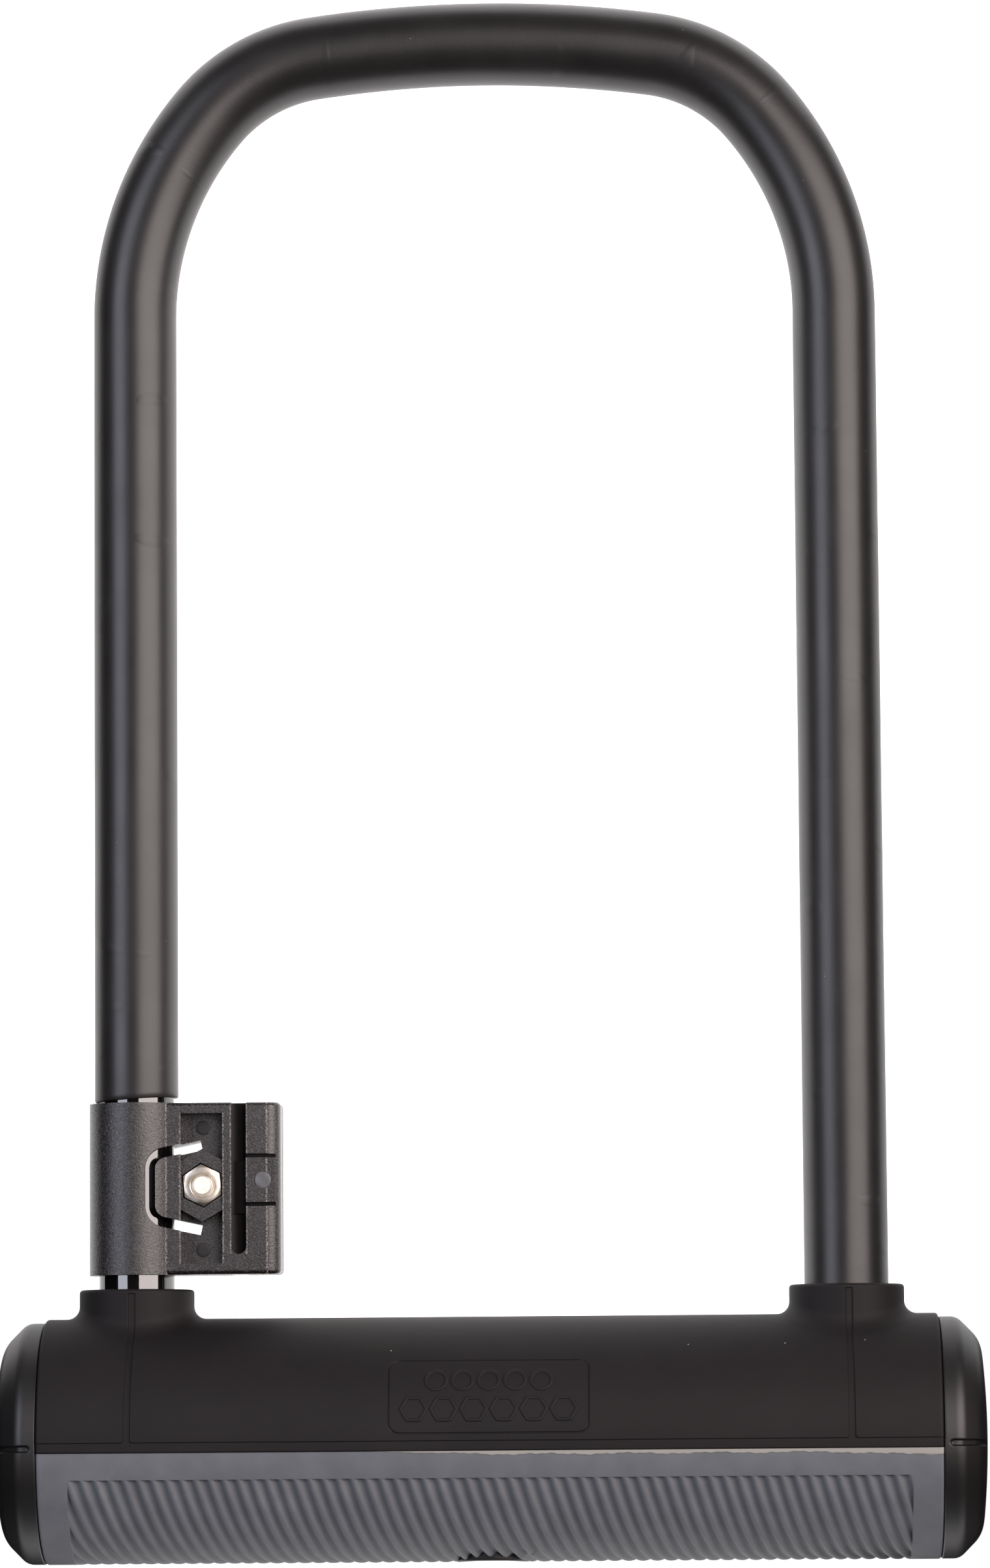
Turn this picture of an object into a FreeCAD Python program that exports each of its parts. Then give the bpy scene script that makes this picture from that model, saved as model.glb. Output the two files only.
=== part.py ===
import FreeCAD, Part
import math
import os

from FreeCAD import Vector

# U lock lying on its back. X runs along the crossbar, Y from the crossbar towards the bow, Z up.
# Shapes are built about the middle of the crossbar's axis, in millimetres. save() moves them so
# that the origin is in the middle of the footprint, at floor level.

# Shackle: a bent steel bar in a vinyl sleeve
leg_spacing = 153.9        # between the axes of the two legs
bar_radius = 8.2           # 16 mm steel with its paint
sleeve_wall = 0.85
sleeve_slack = 0.05        # vinyl to bar, all round
bow_top = 307.3            # highest point of the bar's centreline
shoulder_radius = 70.4     # wide bend at the top of each leg
shoulder_turn = 40.0       # degrees
corner_radius = 36.8       # tighter bend above it
crown_radius = 266.0       # nearly flat top of the bow
foot_depth = 12.0          # foot end below the crossbar's axis
foot_chamfer = 1.5
sleeve_cut_rise = 1.0      # the left end of the vinyl is cut this much out of square

# Crossbar: a steel tube in a two-part cover, with a cap at each end
tube_radius = 23.0
tube_wall = 3.0
end_overhang = 29.8        # from a leg's axis to the end of the crossbar
cap_length = 10.15
cap_chamfer = 5.2
cap_crown = 0.9            # height of the domed end face
cap_wall = 2.5
cap_shoulder_drop = 1.3    # inner corner of the wall, inwards from the rim
cap_spigot_wall = 2.4
cap_spigot_length = 1.8
cap_lowering = 0.05        # the caps lie this much inside the grip
seam_gap = 0.1             # between the covers and a cap
tube_end_gap = 0.5         # the tube ends inside the covers
cover_wall = 3.75
grip_wall = 3.0
shell_fit = 0.05           # covers to tube
split_drop = 2.0           # the covers part this far below the axis
split_gap = 0.05
collar_radius = 12.45
collar_rise = 6.3          # above the top of the cover
collar_clearance = 0.4     # collar to vinyl
collar_root_fillet = 2.5
collar_rim_chamfer = 0.7
seal_clearance = 0.3       # rubber seal to bar
seal_fit = 0.05
seal_height = 4.9
vinyl_above_seal = 1.0
end_disc_thickness = 2.8
inner_fit = 0.1            # blocks inside the tube to the tube, all round

# Foot sockets, bolts and their guides
foot_clearance = 0.35      # foot to socket, all round
foot_floor_gap = 1.0
socket_end_gap = 0.4       # from a socket's outer face to the end disc
socket_lip = 7.7           # from the foot to the inner face of its socket
bolt_radius = 5.0
bolt_clearance = 0.1       # running fit of a bolt in its guide and socket
bolt_axis_rise = 3.0       # above the crossbar's axis
bolt_travel = 6.0
bolt_gap = 0.6             # drawn bolt to foot, and thrown bolt to the notch's floor
notch_side_gap = 0.4
bolt_flat_depth = 3.7      # from a bolt's axis down to the flat that lies over the cam
bolt_tail_margin = 2.8     # from the drive pin to the inner end of the bolt
bolt_tip_chamfer = 0.8
guide_length = 16.0
guide_stand_off = 6.5      # from a thrown bolt's shoulder to its guide

# Cam with two spiral slots
pin_radius = 1.5
pin_start = 6.5            # drive pin to the cam's axis when the bolts are drawn
slot_clearance = 0.2
cam_rim = 1.3              # outside the far end of a slot
cam_thickness = 4.0
cam_gap = 0.3              # cam to the flat of the bolts
cam_turn = 90.0            # degrees between drawn and thrown
slot_over_run = 2.0        # degrees past each end
slot_steps = 12
pin_floor_gap = 0.5
washer_radius = 10.0
washer_bore = 5.0
washer_thickness = 0.8
washer_gap = 0.1
screw_radius = 1.5
screw_length = 6.0
screw_head_radius = 2.6
screw_head_height = 1.4
screw_drive_radius = 1.2
thread_fit = 0.05

# Disc cylinder
housing_radius = 11.0
housing_hole_fit = 0.1     # housing to the hole in the tube
housing_recess = 1.0       # housing face inside the tube's outer surface
housing_lip = 1.5
lip_clearance = 1.0        # lip to the keyway's ends
plug_radius = 8.4
plug_clearance = 0.1
plug_wall = 1.5
plug_end_gap = 0.1
plug_back_gap = 0.8        # plug shoulder below the back of the housing
plug_floor = 1.8           # closed back of the plug's cup
guard_thickness = 1.5
disc_thickness = 1.25
disc_pitch = 1.4
disc_clearance = 0.1
keyway_width = 7.2
keyway_height = 2.8
tail_width = 5.0
tail_fit = 0.05
sidebar_radius = 1.05
sidebar_gap = 0.15
gate_depth = 1.2
clip_depth = 0.8           # groove in the housing
clip_width = 1.3
clip_reach = 1.6           # outside the housing
clip_wall_gap = 0.3        # above the tube's inner wall
clip_mouth = 14.0

# Keyway boss, escutcheon and dust shutter
boss_radius = 8.0
escutcheon_radius = 6.85
escutcheon_fit = 0.05
escutcheon_recess = 0.4    # below the rim of the boss
flange_radius = 8.8
flange_thickness = 1.0
shutter_radius = 5.0
shutter_clearance = 0.1
shutter_lip = 0.5
shutter_cover = 0.6        # how far the lip laps over the shutter
shutter_gap = 0.1
thumb_dimple_radius = 1.1
thumb_dimple_depth = 0.4
thumb_dimple_gap = 0.3

# Bracket clamped round the left leg
bracket_gap = 3.1          # above the collar
bracket_height = 37.2
bracket_sleeve_radius = 10.25
bracket_bore_clearance = 0.1
bracket_reach = 31.7       # leg axis to the free edge of the wing
bracket_half = 7.6         # middle plane to each face of the wing
clamp_gap = 0.8            # between the two halves
wing_corner = 1.0
lip_round = 3.0
vinyl_gap = 0.4            # bracket to the end of the vinyl
pocket_start = 10.05       # places across the wing, from the leg's axis
pocket_width = 9.1
pocket_margin = 2.35       # pocket to the ends of the wing
pocket_depth = 5.0
hex_boss_radius = 7.9      # across corners, halved
hex_boss_drop = 1.0        # its top below the wing's face
bolt_line = 14.7           # clamp screw, from the leg's axis
bolt_height = 19.3         # clamp screw, above the bracket's lower end
nut_flats = 8.0
nut_thickness = 4.0
nut_fit = 0.25
seat_angle = 34.0          # degrees from X to a corner of the nut's seat
nut_slack_turn = 6.0       # the nut has turned this far in its seat
clamp_thread_radius = 2.5
clamp_hole_fit = 0.15
clamp_head_radius = 4.3
clamp_head_height = 2.8
clamp_head_fit = 0.3
clamp_socket_flats = 3.0
clamp_end_beyond_nut = 0.3
channel_start = 21.05      # guide channel that is open at the top
channel_width = 3.25
channel_floor = 4.4        # its lower end above the bracket's lower end
channel_depth = 5.0
channel_step_depth = 3.2
channel_step_low = 13.2
channel_step_high = 24.5
pad_low = 15.5             # raised pad beside the channel
pad_height = 9.7
pad_width = 6.3
pad_proud = 0.5
pad_groove = 0.8
gate_mark_radius = 1.85    # trimmed moulding gate on the pad
gate_mark_depth = 0.25
gate_mark_line = 28.0      # from the leg's axis
ejector_radius = 1.6       # ejector pin marks on the pocket's floor
ejector_depth = 0.15
ejector_margin = 3.0       # from an end of the pocket to the middle of a mark
tongue_slot_width = 2.2    # U-shaped slot that frees a sprung tongue round the nut
tongue_slot_line = 3.6     # its straight back, from the leg's axis
tongue_slot_middle = 18.9  # above the bracket's lower end
tongue_slot_straight = 8.0
tongue_slot_corner = 3.6
tongue_slot_flare = 12.0   # degrees that each arm opens outwards
tongue_slot_end = 14.3     # the arms' ends, from the leg's axis

# Worked out from the sizes above
leg_x = leg_spacing / 2
sleeve_radius = bar_radius + sleeve_slack + sleeve_wall
crossbar_half = leg_x + end_overhang
cap_seam = crossbar_half - cap_length
cover_half = cap_seam - seam_gap
tube_half = cover_half - tube_end_gap
tube_bore = tube_radius - tube_wall
shell_bore = tube_radius + shell_fit
cover_radius = shell_bore + cover_wall
grip_radius = shell_bore + grip_wall
cap_radius = grip_radius - cap_lowering
collar_top = cover_radius + collar_rise
collar_bore = sleeve_radius + collar_clearance
seal_bottom = tube_radius + seal_fit
vinyl_right_end = seal_bottom + seal_height + vinyl_above_seal
block_radius = tube_bore - inner_fit
disc_outer_face = tube_half - cap_spigot_length - inner_fit
disc_inner_face = disc_outer_face - end_disc_thickness
socket_outer_face = disc_inner_face - socket_end_gap
foot_hole_radius = bar_radius + foot_clearance
foot_face = leg_x - bar_radius
bolt_tip = foot_face - bolt_gap
notch_floor = bolt_tip + bolt_travel + bolt_gap
bolt_flat = bolt_axis_rise - bolt_flat_depth
cam_top = bolt_flat - cam_gap
cam_bottom = cam_top - cam_thickness
cam_radius = pin_start + bolt_travel + pin_radius + slot_clearance + cam_rim
bolt_shoulder = cam_radius + bolt_travel + bolt_gap
guide_start = bolt_shoulder + guide_stand_off
washer_top = cam_bottom - washer_gap
housing_back = washer_top - washer_thickness - washer_gap
housing_front = -(tube_radius - housing_recess)
plug_front = housing_front + housing_lip + plug_end_gap
plug_back = housing_back - plug_back_gap
cup_front = plug_front + guard_thickness + plug_end_gap
cup_floor = plug_back - plug_floor
cup_radius = plug_radius - plug_wall
disc_radius = cup_radius - disc_clearance
disc_count = int((cup_floor - cup_front) / disc_pitch)
sidebar_centre = disc_radius - gate_depth + sidebar_gap + sidebar_radius
clip_radius = housing_radius + clip_reach
clip_bottom = clip_wall_gap - math.sqrt(tube_bore ** 2 - clip_radius ** 2)
boss_face = -grip_radius
shutter_back = housing_front - shutter_gap
shutter_front = boss_face + escutcheon_recess + shutter_lip + shutter_gap
bracket_bottom = collar_top + bracket_gap
bracket_top = bracket_bottom + bracket_height
vinyl_left_end = bracket_top + vinyl_gap
wing_floor = bracket_half - pocket_depth
length_y = bow_top + sleeve_radius + grip_radius
origin_shift = Vector(0, -(length_y / 2 - grip_radius), cover_radius)

along_x = Vector(1, 0, 0)
along_y = Vector(0, 1, 0)
along_z = Vector(0, 0, 1)
far = 500.0


def block(x0, x1, y0, y1, z0, z1):
    return Part.makeBox(x1 - x0, y1 - y0, z1 - z0, Vector(x0, y0, z0))


def rod_x(radius, x0, x1, y=0.0, z=0.0):
    return Part.makeCylinder(radius, x1 - x0, Vector(x0, y, z), along_x)


def rod_y(radius, y0, y1, x=0.0, z=0.0):
    return Part.makeCylinder(radius, y1 - y0, Vector(x, y0, z), along_y)


def rod_z(radius, z0, z1, x=0.0, y=0.0):
    return Part.makeCylinder(radius, z1 - z0, Vector(x, y, z0), along_z)


def ring_y(outer, inner, y0, y1, x=0.0):
    return rod_y(outer, y0, y1, x).cut(rod_y(inner, y0, y1, x))


def hexagon_z(corner_radius_, z0, z1, x, y, turn):
    points = []
    for corner in range(7):
        angle = math.radians(turn + 60 * corner)
        points.append(Vector(x + corner_radius_ * math.cos(angle), y + corner_radius_ * math.sin(angle), z0))
    return Part.Face(Part.makePolygon(points)).extrude(Vector(0, 0, z1 - z0))


def mirror_x(shape):
    return shape.mirror(Vector(0, 0, 0), along_x)


def chamfer_where(shape, size, wanted):
    return shape.makeChamfer(size, [edge for edge in shape.Edges if wanted(edge)])


def fillet_where(shape, size, wanted):
    return shape.makeFillet(size, [edge for edge in shape.Edges if wanted(edge)])


def is_ring(edge, radius, y):
    curve = edge.Curve
    if not isinstance(curve, Part.Circle):
        return False
    return abs(curve.Radius - radius) < 0.01 and abs(edge.CenterOfMass.y - y) < 0.01


def save(name, shape):
    moved = shape.copy()
    moved.translate(origin_shift)
    moved.exportStep("parts/" + name + ".step")
    low = moved.BoundBox
    print("%-22s solids %2d  volume %10.1f  valid %s  x %.1f..%.1f y %.1f..%.1f z %.1f..%.1f" % (
        name, len(moved.Solids), moved.Volume, moved.isValid(),
        low.XMin, low.XMax, low.YMin, low.YMax, low.ZMin, low.ZMax))


# The right half of the bar's centreline, from the given height up to the middle of the crown:
# a straight leg, the shoulder, the corner and half of the crown, each tangent to the next.
def half_path(start_y):
    turn = math.radians(shoulder_turn)
    corner_x = leg_x - shoulder_radius + (shoulder_radius - corner_radius) * math.cos(turn)
    crown_half = math.asin(corner_x / (crown_radius - corner_radius))
    corner_y = bow_top - crown_radius + (crown_radius - corner_radius) * math.cos(crown_half)
    leg_top = corner_y - (shoulder_radius - corner_radius) * math.sin(turn)

    def on_circle(cx, cy, radius, angle):
        return Vector(cx + radius * math.cos(angle), cy + radius * math.sin(angle), 0)

    shoulder_x = leg_x - shoulder_radius
    crown_y = bow_top - crown_radius
    crown_start = math.pi / 2 - crown_half
    leg_end = Vector(leg_x, leg_top, 0)
    shoulder_mid = on_circle(shoulder_x, leg_top, shoulder_radius, turn / 2)
    shoulder_end = on_circle(shoulder_x, leg_top, shoulder_radius, turn)
    corner_mid = on_circle(corner_x, corner_y, corner_radius, (turn + crown_start) / 2)
    corner_end = on_circle(corner_x, corner_y, corner_radius, crown_start)
    crown_mid = on_circle(0, crown_y, crown_radius, (crown_start + math.pi / 2) / 2)
    crown_end = Vector(0, bow_top, 0)
    return [
        Part.LineSegment(Vector(leg_x, start_y, 0), leg_end).toShape(),
        Part.Arc(leg_end, shoulder_mid, shoulder_end).toShape(),
        Part.Arc(shoulder_end, corner_mid, corner_end).toShape(),
        Part.Arc(corner_end, crown_mid, crown_end).toShape(),
    ]


def bent_rod(radius, left_start, right_start):
    right = half_path(right_start)
    left = [mirror_x(edge) for edge in half_path(left_start)]
    path = Part.Wire(Part.__sortEdges__(right + left))
    section = Part.Wire(Part.makeCircle(radius, Vector(leg_x, right_start, 0), along_y))
    return path.makePipeShell([section], True, False)


def shackle_bar():
    bar = bent_rod(bar_radius, -foot_depth, -foot_depth)
    bar = chamfer_where(bar, foot_chamfer, lambda edge: is_ring(edge, bar_radius, -foot_depth))
    notch = block(foot_face - 1, notch_floor,
                  bolt_axis_rise - bolt_radius - notch_side_gap,
                  bolt_axis_rise + bolt_radius + notch_side_gap, -bar_radius, bar_radius)
    return bar.cut(notch).cut(mirror_x(notch))


def shackle_sleeve():
    outer = bent_rod(sleeve_radius, vinyl_left_end, vinyl_right_end)
    inner = bent_rod(bar_radius + sleeve_slack, vinyl_left_end - 1, vinyl_right_end - 1)
    tilt = math.degrees(math.atan(sleeve_cut_rise / (2 * sleeve_radius)))
    knife = block(0, 3 * sleeve_radius, -2 * sleeve_radius, 0, -sleeve_radius, sleeve_radius)
    knife.rotate(Vector(0, 0, 0), along_z, tilt)
    knife.translate(Vector(-leg_x - sleeve_radius, vinyl_left_end, 0))
    return outer.cut(inner).cut(knife)


def crossbar_tube():
    tube = rod_x(tube_radius, -tube_half, tube_half)
    tube = tube.cut(rod_x(tube_bore, -tube_half, tube_half))
    for side in (-1, 1):
        tube = tube.cut(rod_y(foot_hole_radius, 0, far, side * leg_x))
    return tube.cut(rod_y(housing_radius + housing_hole_fit, -far, 0))


def upper_cover():
    shell = rod_x(cover_radius, -cover_half, cover_half)
    for side in (-1, 1):
        shell = shell.fuse(rod_y(collar_radius, 0, collar_top, side * leg_x))
    shell = shell.cut(block(-far, far, -far, -split_drop, -far, far))

    def at_root(edge):
        box = edge.BoundBox
        straight = isinstance(edge.Curve, (Part.Line, Part.Circle))
        return not straight and box.YMin > 0 and box.XLength > collar_radius

    shell = fillet_where(shell, collar_root_fillet, at_root)
    shell = chamfer_where(shell, collar_rim_chamfer, lambda edge: is_ring(edge, collar_radius, collar_top))
    shell = shell.cut(rod_x(shell_bore, -far, far))
    for side in (-1, 1):
        shell = shell.cut(rod_y(collar_bore, 0, far, side * leg_x))
    return shell


def lower_grip():
    shell = rod_x(grip_radius, -cover_half, cover_half)
    shell = shell.cut(block(-far, far, -split_drop - split_gap, far, -far, far))
    shell = shell.fuse(rod_y(boss_radius, boss_face, -tube_radius))
    shell = shell.cut(rod_x(shell_bore, -far, far))
    flange_back = housing_front - flange_thickness - escutcheon_fit
    shell = shell.cut(rod_y(escutcheon_radius + escutcheon_fit, -far, 0))
    shell = shell.cut(rod_y(flange_radius + escutcheon_fit, flange_back, 0))
    return shell.cut(rod_y(housing_radius + housing_hole_fit, housing_front - escutcheon_fit, 0))


# A right-hand cap, turned about the crossbar's axis: a shell with a straight rim, a chamfer and
# a shallow dome, and a spigot that enters the tube.
def end_cap():
    spigot_radius = tube_bore - inner_fit / 2
    spigot_bore = spigot_radius - cap_spigot_wall
    chamfer_start = crossbar_half - cap_crown - cap_chamfer
    face_edge = crossbar_half - cap_crown
    face_radius = cap_radius - cap_chamfer
    inside_face = face_edge - cap_wall
    dome_radius = (face_radius ** 2 + cap_crown ** 2) / (2 * cap_crown)
    half_angle = math.asin(face_radius / dome_radius) / 2
    dome_middle = crossbar_half - dome_radius * (1 - math.cos(half_angle))
    dome = Part.Arc(
        Vector(face_edge, face_radius, 0),
        Vector(dome_middle, dome_radius * math.sin(half_angle), 0),
        Vector(crossbar_half, 0, 0)).toShape()
    outline = [
        Vector(crossbar_half, 0, 0),
        Vector(inside_face, 0, 0),
        Vector(inside_face, spigot_bore, 0),
        Vector(tube_half - cap_spigot_length, spigot_bore, 0),
        Vector(tube_half - cap_spigot_length, spigot_radius, 0),
        Vector(inside_face - cap_wall, spigot_radius, 0),
        Vector(inside_face - cap_wall, cap_radius - cap_wall - cap_shoulder_drop, 0),
        Vector(cap_seam, cap_radius - cap_wall, 0),
        Vector(cap_seam, cap_radius, 0),
        Vector(chamfer_start, cap_radius, 0),
        Vector(face_edge, face_radius, 0),
    ]
    edges = [Part.makeLine(a, b) for a, b in zip(outline, outline[1:])]
    profile = Part.Face(Part.Wire(edges + [dome]))
    return profile.revolve(Vector(0, 0, 0), along_x, 360)


def collar_seal(side):
    return ring_y(collar_bore - seal_fit, bar_radius + seal_clearance,
                  seal_bottom, seal_bottom + seal_height, side * leg_x)


def end_disc():
    return rod_x(block_radius, disc_inner_face, disc_outer_face)


# A right-hand steel block with a blind hole for the foot and a cross hole for the bolt.
def foot_socket():
    socket = rod_x(block_radius, foot_face - socket_lip, socket_outer_face)
    socket = socket.cut(rod_y(foot_hole_radius, -foot_depth - foot_floor_gap, far, leg_x))
    return socket.cut(rod_x(bolt_radius + bolt_clearance, 0, leg_x, bolt_axis_rise))


def bolt_guide():
    guide = rod_x(block_radius, guide_start, guide_start + guide_length)
    return guide.cut(rod_x(bolt_radius + bolt_clearance, 0, far, bolt_axis_rise))


# A right-hand bolt: round where it is guided, flat underneath where it lies over the cam.
def bolt():
    tail_end = pin_start - bolt_tail_margin
    body = rod_x(bolt_radius, tail_end, bolt_tip, bolt_axis_rise)

    def at_tip(edge):
        return isinstance(edge.Curve, Part.Circle) and abs(edge.CenterOfMass.x - bolt_tip) < 0.01

    body = chamfer_where(body, bolt_tip_chamfer, at_tip)
    body = body.cut(block(0, bolt_shoulder, -far, bolt_flat, -far, far))
    return body.cut(rod_y(pin_radius + thread_fit, -far, bolt_axis_rise, pin_start))


def drive_pin():
    return rod_y(pin_radius, cam_bottom + pin_floor_gap, bolt_axis_rise - thread_fit, pin_start)


# One spiral slot, along X at its inner end. Its centreline is r = pin_start + rise * angle, so the
# bolts move in step with the cam, and it is turned against the cam's own turn.
def spiral_slot():
    rise = bolt_travel / math.radians(cam_turn)
    half_width = pin_radius + slot_clearance
    over = math.radians(slot_over_run)
    span = math.radians(cam_turn) + 2 * over
    near_side = []
    far_side = []
    for step in range(slot_steps + 1):
        angle = -over + span * step / slot_steps
        radius = pin_start + rise * angle
        out_x, out_z = math.cos(angle), math.sin(angle)
        slope = math.hypot(radius, rise)
        normal_x = (radius * out_x + rise * out_z) / slope
        normal_z = (radius * out_z - rise * out_x) / slope
        centre = Vector(radius * out_x, cam_bottom, radius * out_z)
        offset = Vector(normal_x * half_width, 0, normal_z * half_width)
        near_side.append(centre.sub(offset))
        far_side.append(centre.add(offset))
    inner = Part.BSplineCurve()
    inner.interpolate(near_side)
    outer = Part.BSplineCurve()
    outer.interpolate(far_side)
    ends = [Part.makeLine(near_side[0], far_side[0]), Part.makeLine(near_side[-1], far_side[-1])]
    outline = Part.Wire(Part.__sortEdges__([inner.toShape(), outer.toShape()] + ends))
    slot = Part.Face(outline).extrude(Vector(0, cam_thickness, 0))
    for first, last in ((near_side[0], far_side[0]), (near_side[-1], far_side[-1])):
        middle = first.add(last).multiply(0.5)
        slot = slot.fuse(rod_y(half_width, cam_bottom, cam_top, middle.x, middle.z))
    return slot


def bolt_cam():
    cam = rod_y(cam_radius, cam_bottom, cam_top)
    reach = tail_width / 2 + tail_fit
    cam = cam.cut(block(-reach, reach, -far, far, -reach, reach))
    slot = spiral_slot()
    opposite = slot.copy()
    opposite.rotate(Vector(0, 0, 0), along_y, 180)
    return cam.cut(slot).cut(opposite)


def cam_screw():
    head = rod_y(screw_head_radius, cam_top, cam_top + screw_head_height)
    driver = rod_y(screw_drive_radius, cam_top + screw_head_height / 2, cam_top + screw_head_height)
    return head.cut(driver).fuse(rod_y(screw_radius, cam_top - screw_length, cam_top))


def cam_washer():
    return ring_y(washer_radius, washer_bore, washer_top - washer_thickness, washer_top)


def keyway(y0, y1):
    return block(-keyway_width / 2, keyway_width / 2, y0, y1, -keyway_height / 2, keyway_height / 2)


def core_housing():
    housing = ring_y(housing_radius, plug_radius + plug_clearance, housing_front, housing_back)
    lip = ring_y(housing_radius, keyway_width / 2 + lip_clearance, housing_front, housing_front + housing_lip)
    housing = housing.fuse(lip)
    groove = ring_y(clip_radius, housing_radius - clip_depth, clip_bottom, clip_bottom + clip_width)
    housing = housing.cut(groove)
    catch = rod_y(sidebar_radius + sidebar_gap, cup_front, cup_floor, plug_radius)
    return housing.cut(catch).removeSplitter()


def core_clip():
    clip = ring_y(clip_radius, housing_radius - clip_depth + thread_fit, clip_bottom + thread_fit,
                  clip_bottom + clip_width - thread_fit)
    return clip.cut(block(-clip_mouth / 2, clip_mouth / 2, -far, far, 0, far))


def core_plug():
    plug = rod_y(plug_radius, cup_front, plug_back)
    plug = plug.cut(rod_y(cup_radius, cup_front, cup_floor))
    half_slot = sidebar_radius + sidebar_gap
    plug = plug.cut(block(-half_slot, half_slot, cup_front, cup_floor, 0, far))
    reach = tail_width / 2
    plug = plug.fuse(block(-reach, reach, plug_back, cam_top, -reach, reach))
    return plug.cut(rod_y(screw_radius + thread_fit, cam_top - screw_length - 1, cam_top))


def drill_guard():
    return rod_y(plug_radius, plug_front, plug_front + guard_thickness).cut(keyway(-far, 0))


def detainer_discs():
    discs = []
    half_gate = sidebar_radius + sidebar_gap
    for number in range(disc_count):
        front = cup_front + disc_pitch * number + (disc_pitch - disc_thickness) / 2
        disc = rod_y(disc_radius, front, front + disc_thickness).cut(keyway(-far, 0))
        gate_floor = disc_radius - gate_depth
        discs.append(disc.cut(block(-half_gate, half_gate, -far, far, gate_floor, far)))
    return Part.makeCompound(discs)


def core_sidebar():
    return rod_y(sidebar_radius, cup_front + sidebar_gap, cup_floor - sidebar_gap, 0, sidebar_centre)


def keyway_escutcheon():
    front = boss_face + escutcheon_recess
    flange_front = housing_front - flange_thickness
    shape = rod_y(escutcheon_radius, front, flange_front)
    shape = shape.fuse(rod_y(flange_radius, flange_front, housing_front))
    shape = shape.cut(rod_y(shutter_radius + shutter_clearance, front + shutter_lip, far))
    return shape.cut(rod_y(shutter_radius - shutter_cover, -far, 0)).removeSplitter()


# A round dust shutter. Its slot lies across the keyway until it is turned a quarter turn.
def keyway_shutter():
    disc = rod_y(shutter_radius, shutter_front, shutter_back)
    half_long = keyway_width / 2
    half_high = keyway_height / 2
    disc = disc.cut(block(-half_high, half_high, -far, 0, -half_long, half_long))
    for side in (-1, 1):
        place = side * (half_high + thumb_dimple_radius + thumb_dimple_gap)
        disc = disc.cut(rod_y(thumb_dimple_radius, shutter_front, shutter_front + thumb_dimple_depth, place))
    return disc


def wing_block(from_leg, to_leg, low, high, z0, z1):
    return block(from_leg - leg_x, to_leg - leg_x, bracket_bottom + low, bracket_bottom + high, z0, z1)


# One half of the clamp, in front of the middle plane: half a sleeve round the bar and a flat wing.
def bracket_blank():
    sleeve = rod_y(bracket_sleeve_radius, bracket_bottom, bracket_top, -leg_x)
    wing = wing_block(0, bracket_reach, 0, bracket_height, -bracket_half, bracket_half)
    blank = sleeve.fuse(wing).removeSplitter()
    blank = blank.common(block(-far, far, -far, far, clamp_gap / 2, far))
    wing_edge = bracket_reach - leg_x

    def outer_edge(edge):
        box = edge.BoundBox
        return box.XLength < 0.01 and abs(box.XMin - wing_edge) < 0.01 and box.ZMin > bracket_half - 0.01

    def corner_edge(edge):
        box = edge.BoundBox
        return box.XLength < 0.01 and box.YLength < 0.01 and abs(box.XMin - wing_edge) < 0.01

    blank = fillet_where(blank, lip_round, outer_edge)
    blank = fillet_where(blank, wing_corner, corner_edge)
    return blank.cut(rod_y(bar_radius + bracket_bore_clearance, -far, far, -leg_x))


# The slot's outline, drawn about its own middle: two arms that flare outwards, round corners and a
# straight back. One side of the slot lies half its width outside the middle line, one inside.
def tongue_slot(z0, z1):
    flare = math.radians(tongue_slot_flare)
    half = tongue_slot_straight / 2
    centre_x = tongue_slot_line + tongue_slot_corner
    run_x = centre_x - tongue_slot_corner * math.sin(flare)
    run = (tongue_slot_end - run_x) / math.cos(flare)

    def side(offset, sign):
        radius = tongue_slot_corner + offset
        turn_end = math.pi / 2 + flare
        turn_middle = (math.pi + turn_end) / 2

        def on_corner(angle):
            return Vector(centre_x + radius * math.cos(angle), sign * (half + radius * math.sin(angle)), 0)

        corner_end = on_corner(turn_end)
        tip = corner_end.add(Vector(run * math.cos(flare), sign * run * math.sin(flare), 0))
        return [Part.Arc(on_corner(math.pi), on_corner(turn_middle), corner_end).toShape(),
                Part.makeLine(corner_end, tip)], on_corner(math.pi), tip

    edges = []
    tips = []
    for offset in (tongue_slot_width / 2, -tongue_slot_width / 2):
        upper, upper_back, upper_tip = side(offset, 1)
        lower, lower_back, lower_tip = side(offset, -1)
        edges += upper + lower + [Part.makeLine(upper_back, lower_back)]
        tips.append((upper_tip, lower_tip))
    edges += [Part.makeLine(outer, inner) for outer, inner in zip(*tips)]
    slot = Part.Face(Part.Wire(Part.__sortEdges__(edges))).extrude(Vector(0, 0, z1 - z0))
    slot.translate(Vector(-leg_x, bracket_bottom + tongue_slot_middle, z0))
    return slot


def clamp_hole():
    return rod_z(clamp_thread_radius + clamp_hole_fit, -far, far, bolt_line - leg_x, bracket_bottom + bolt_height)


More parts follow.
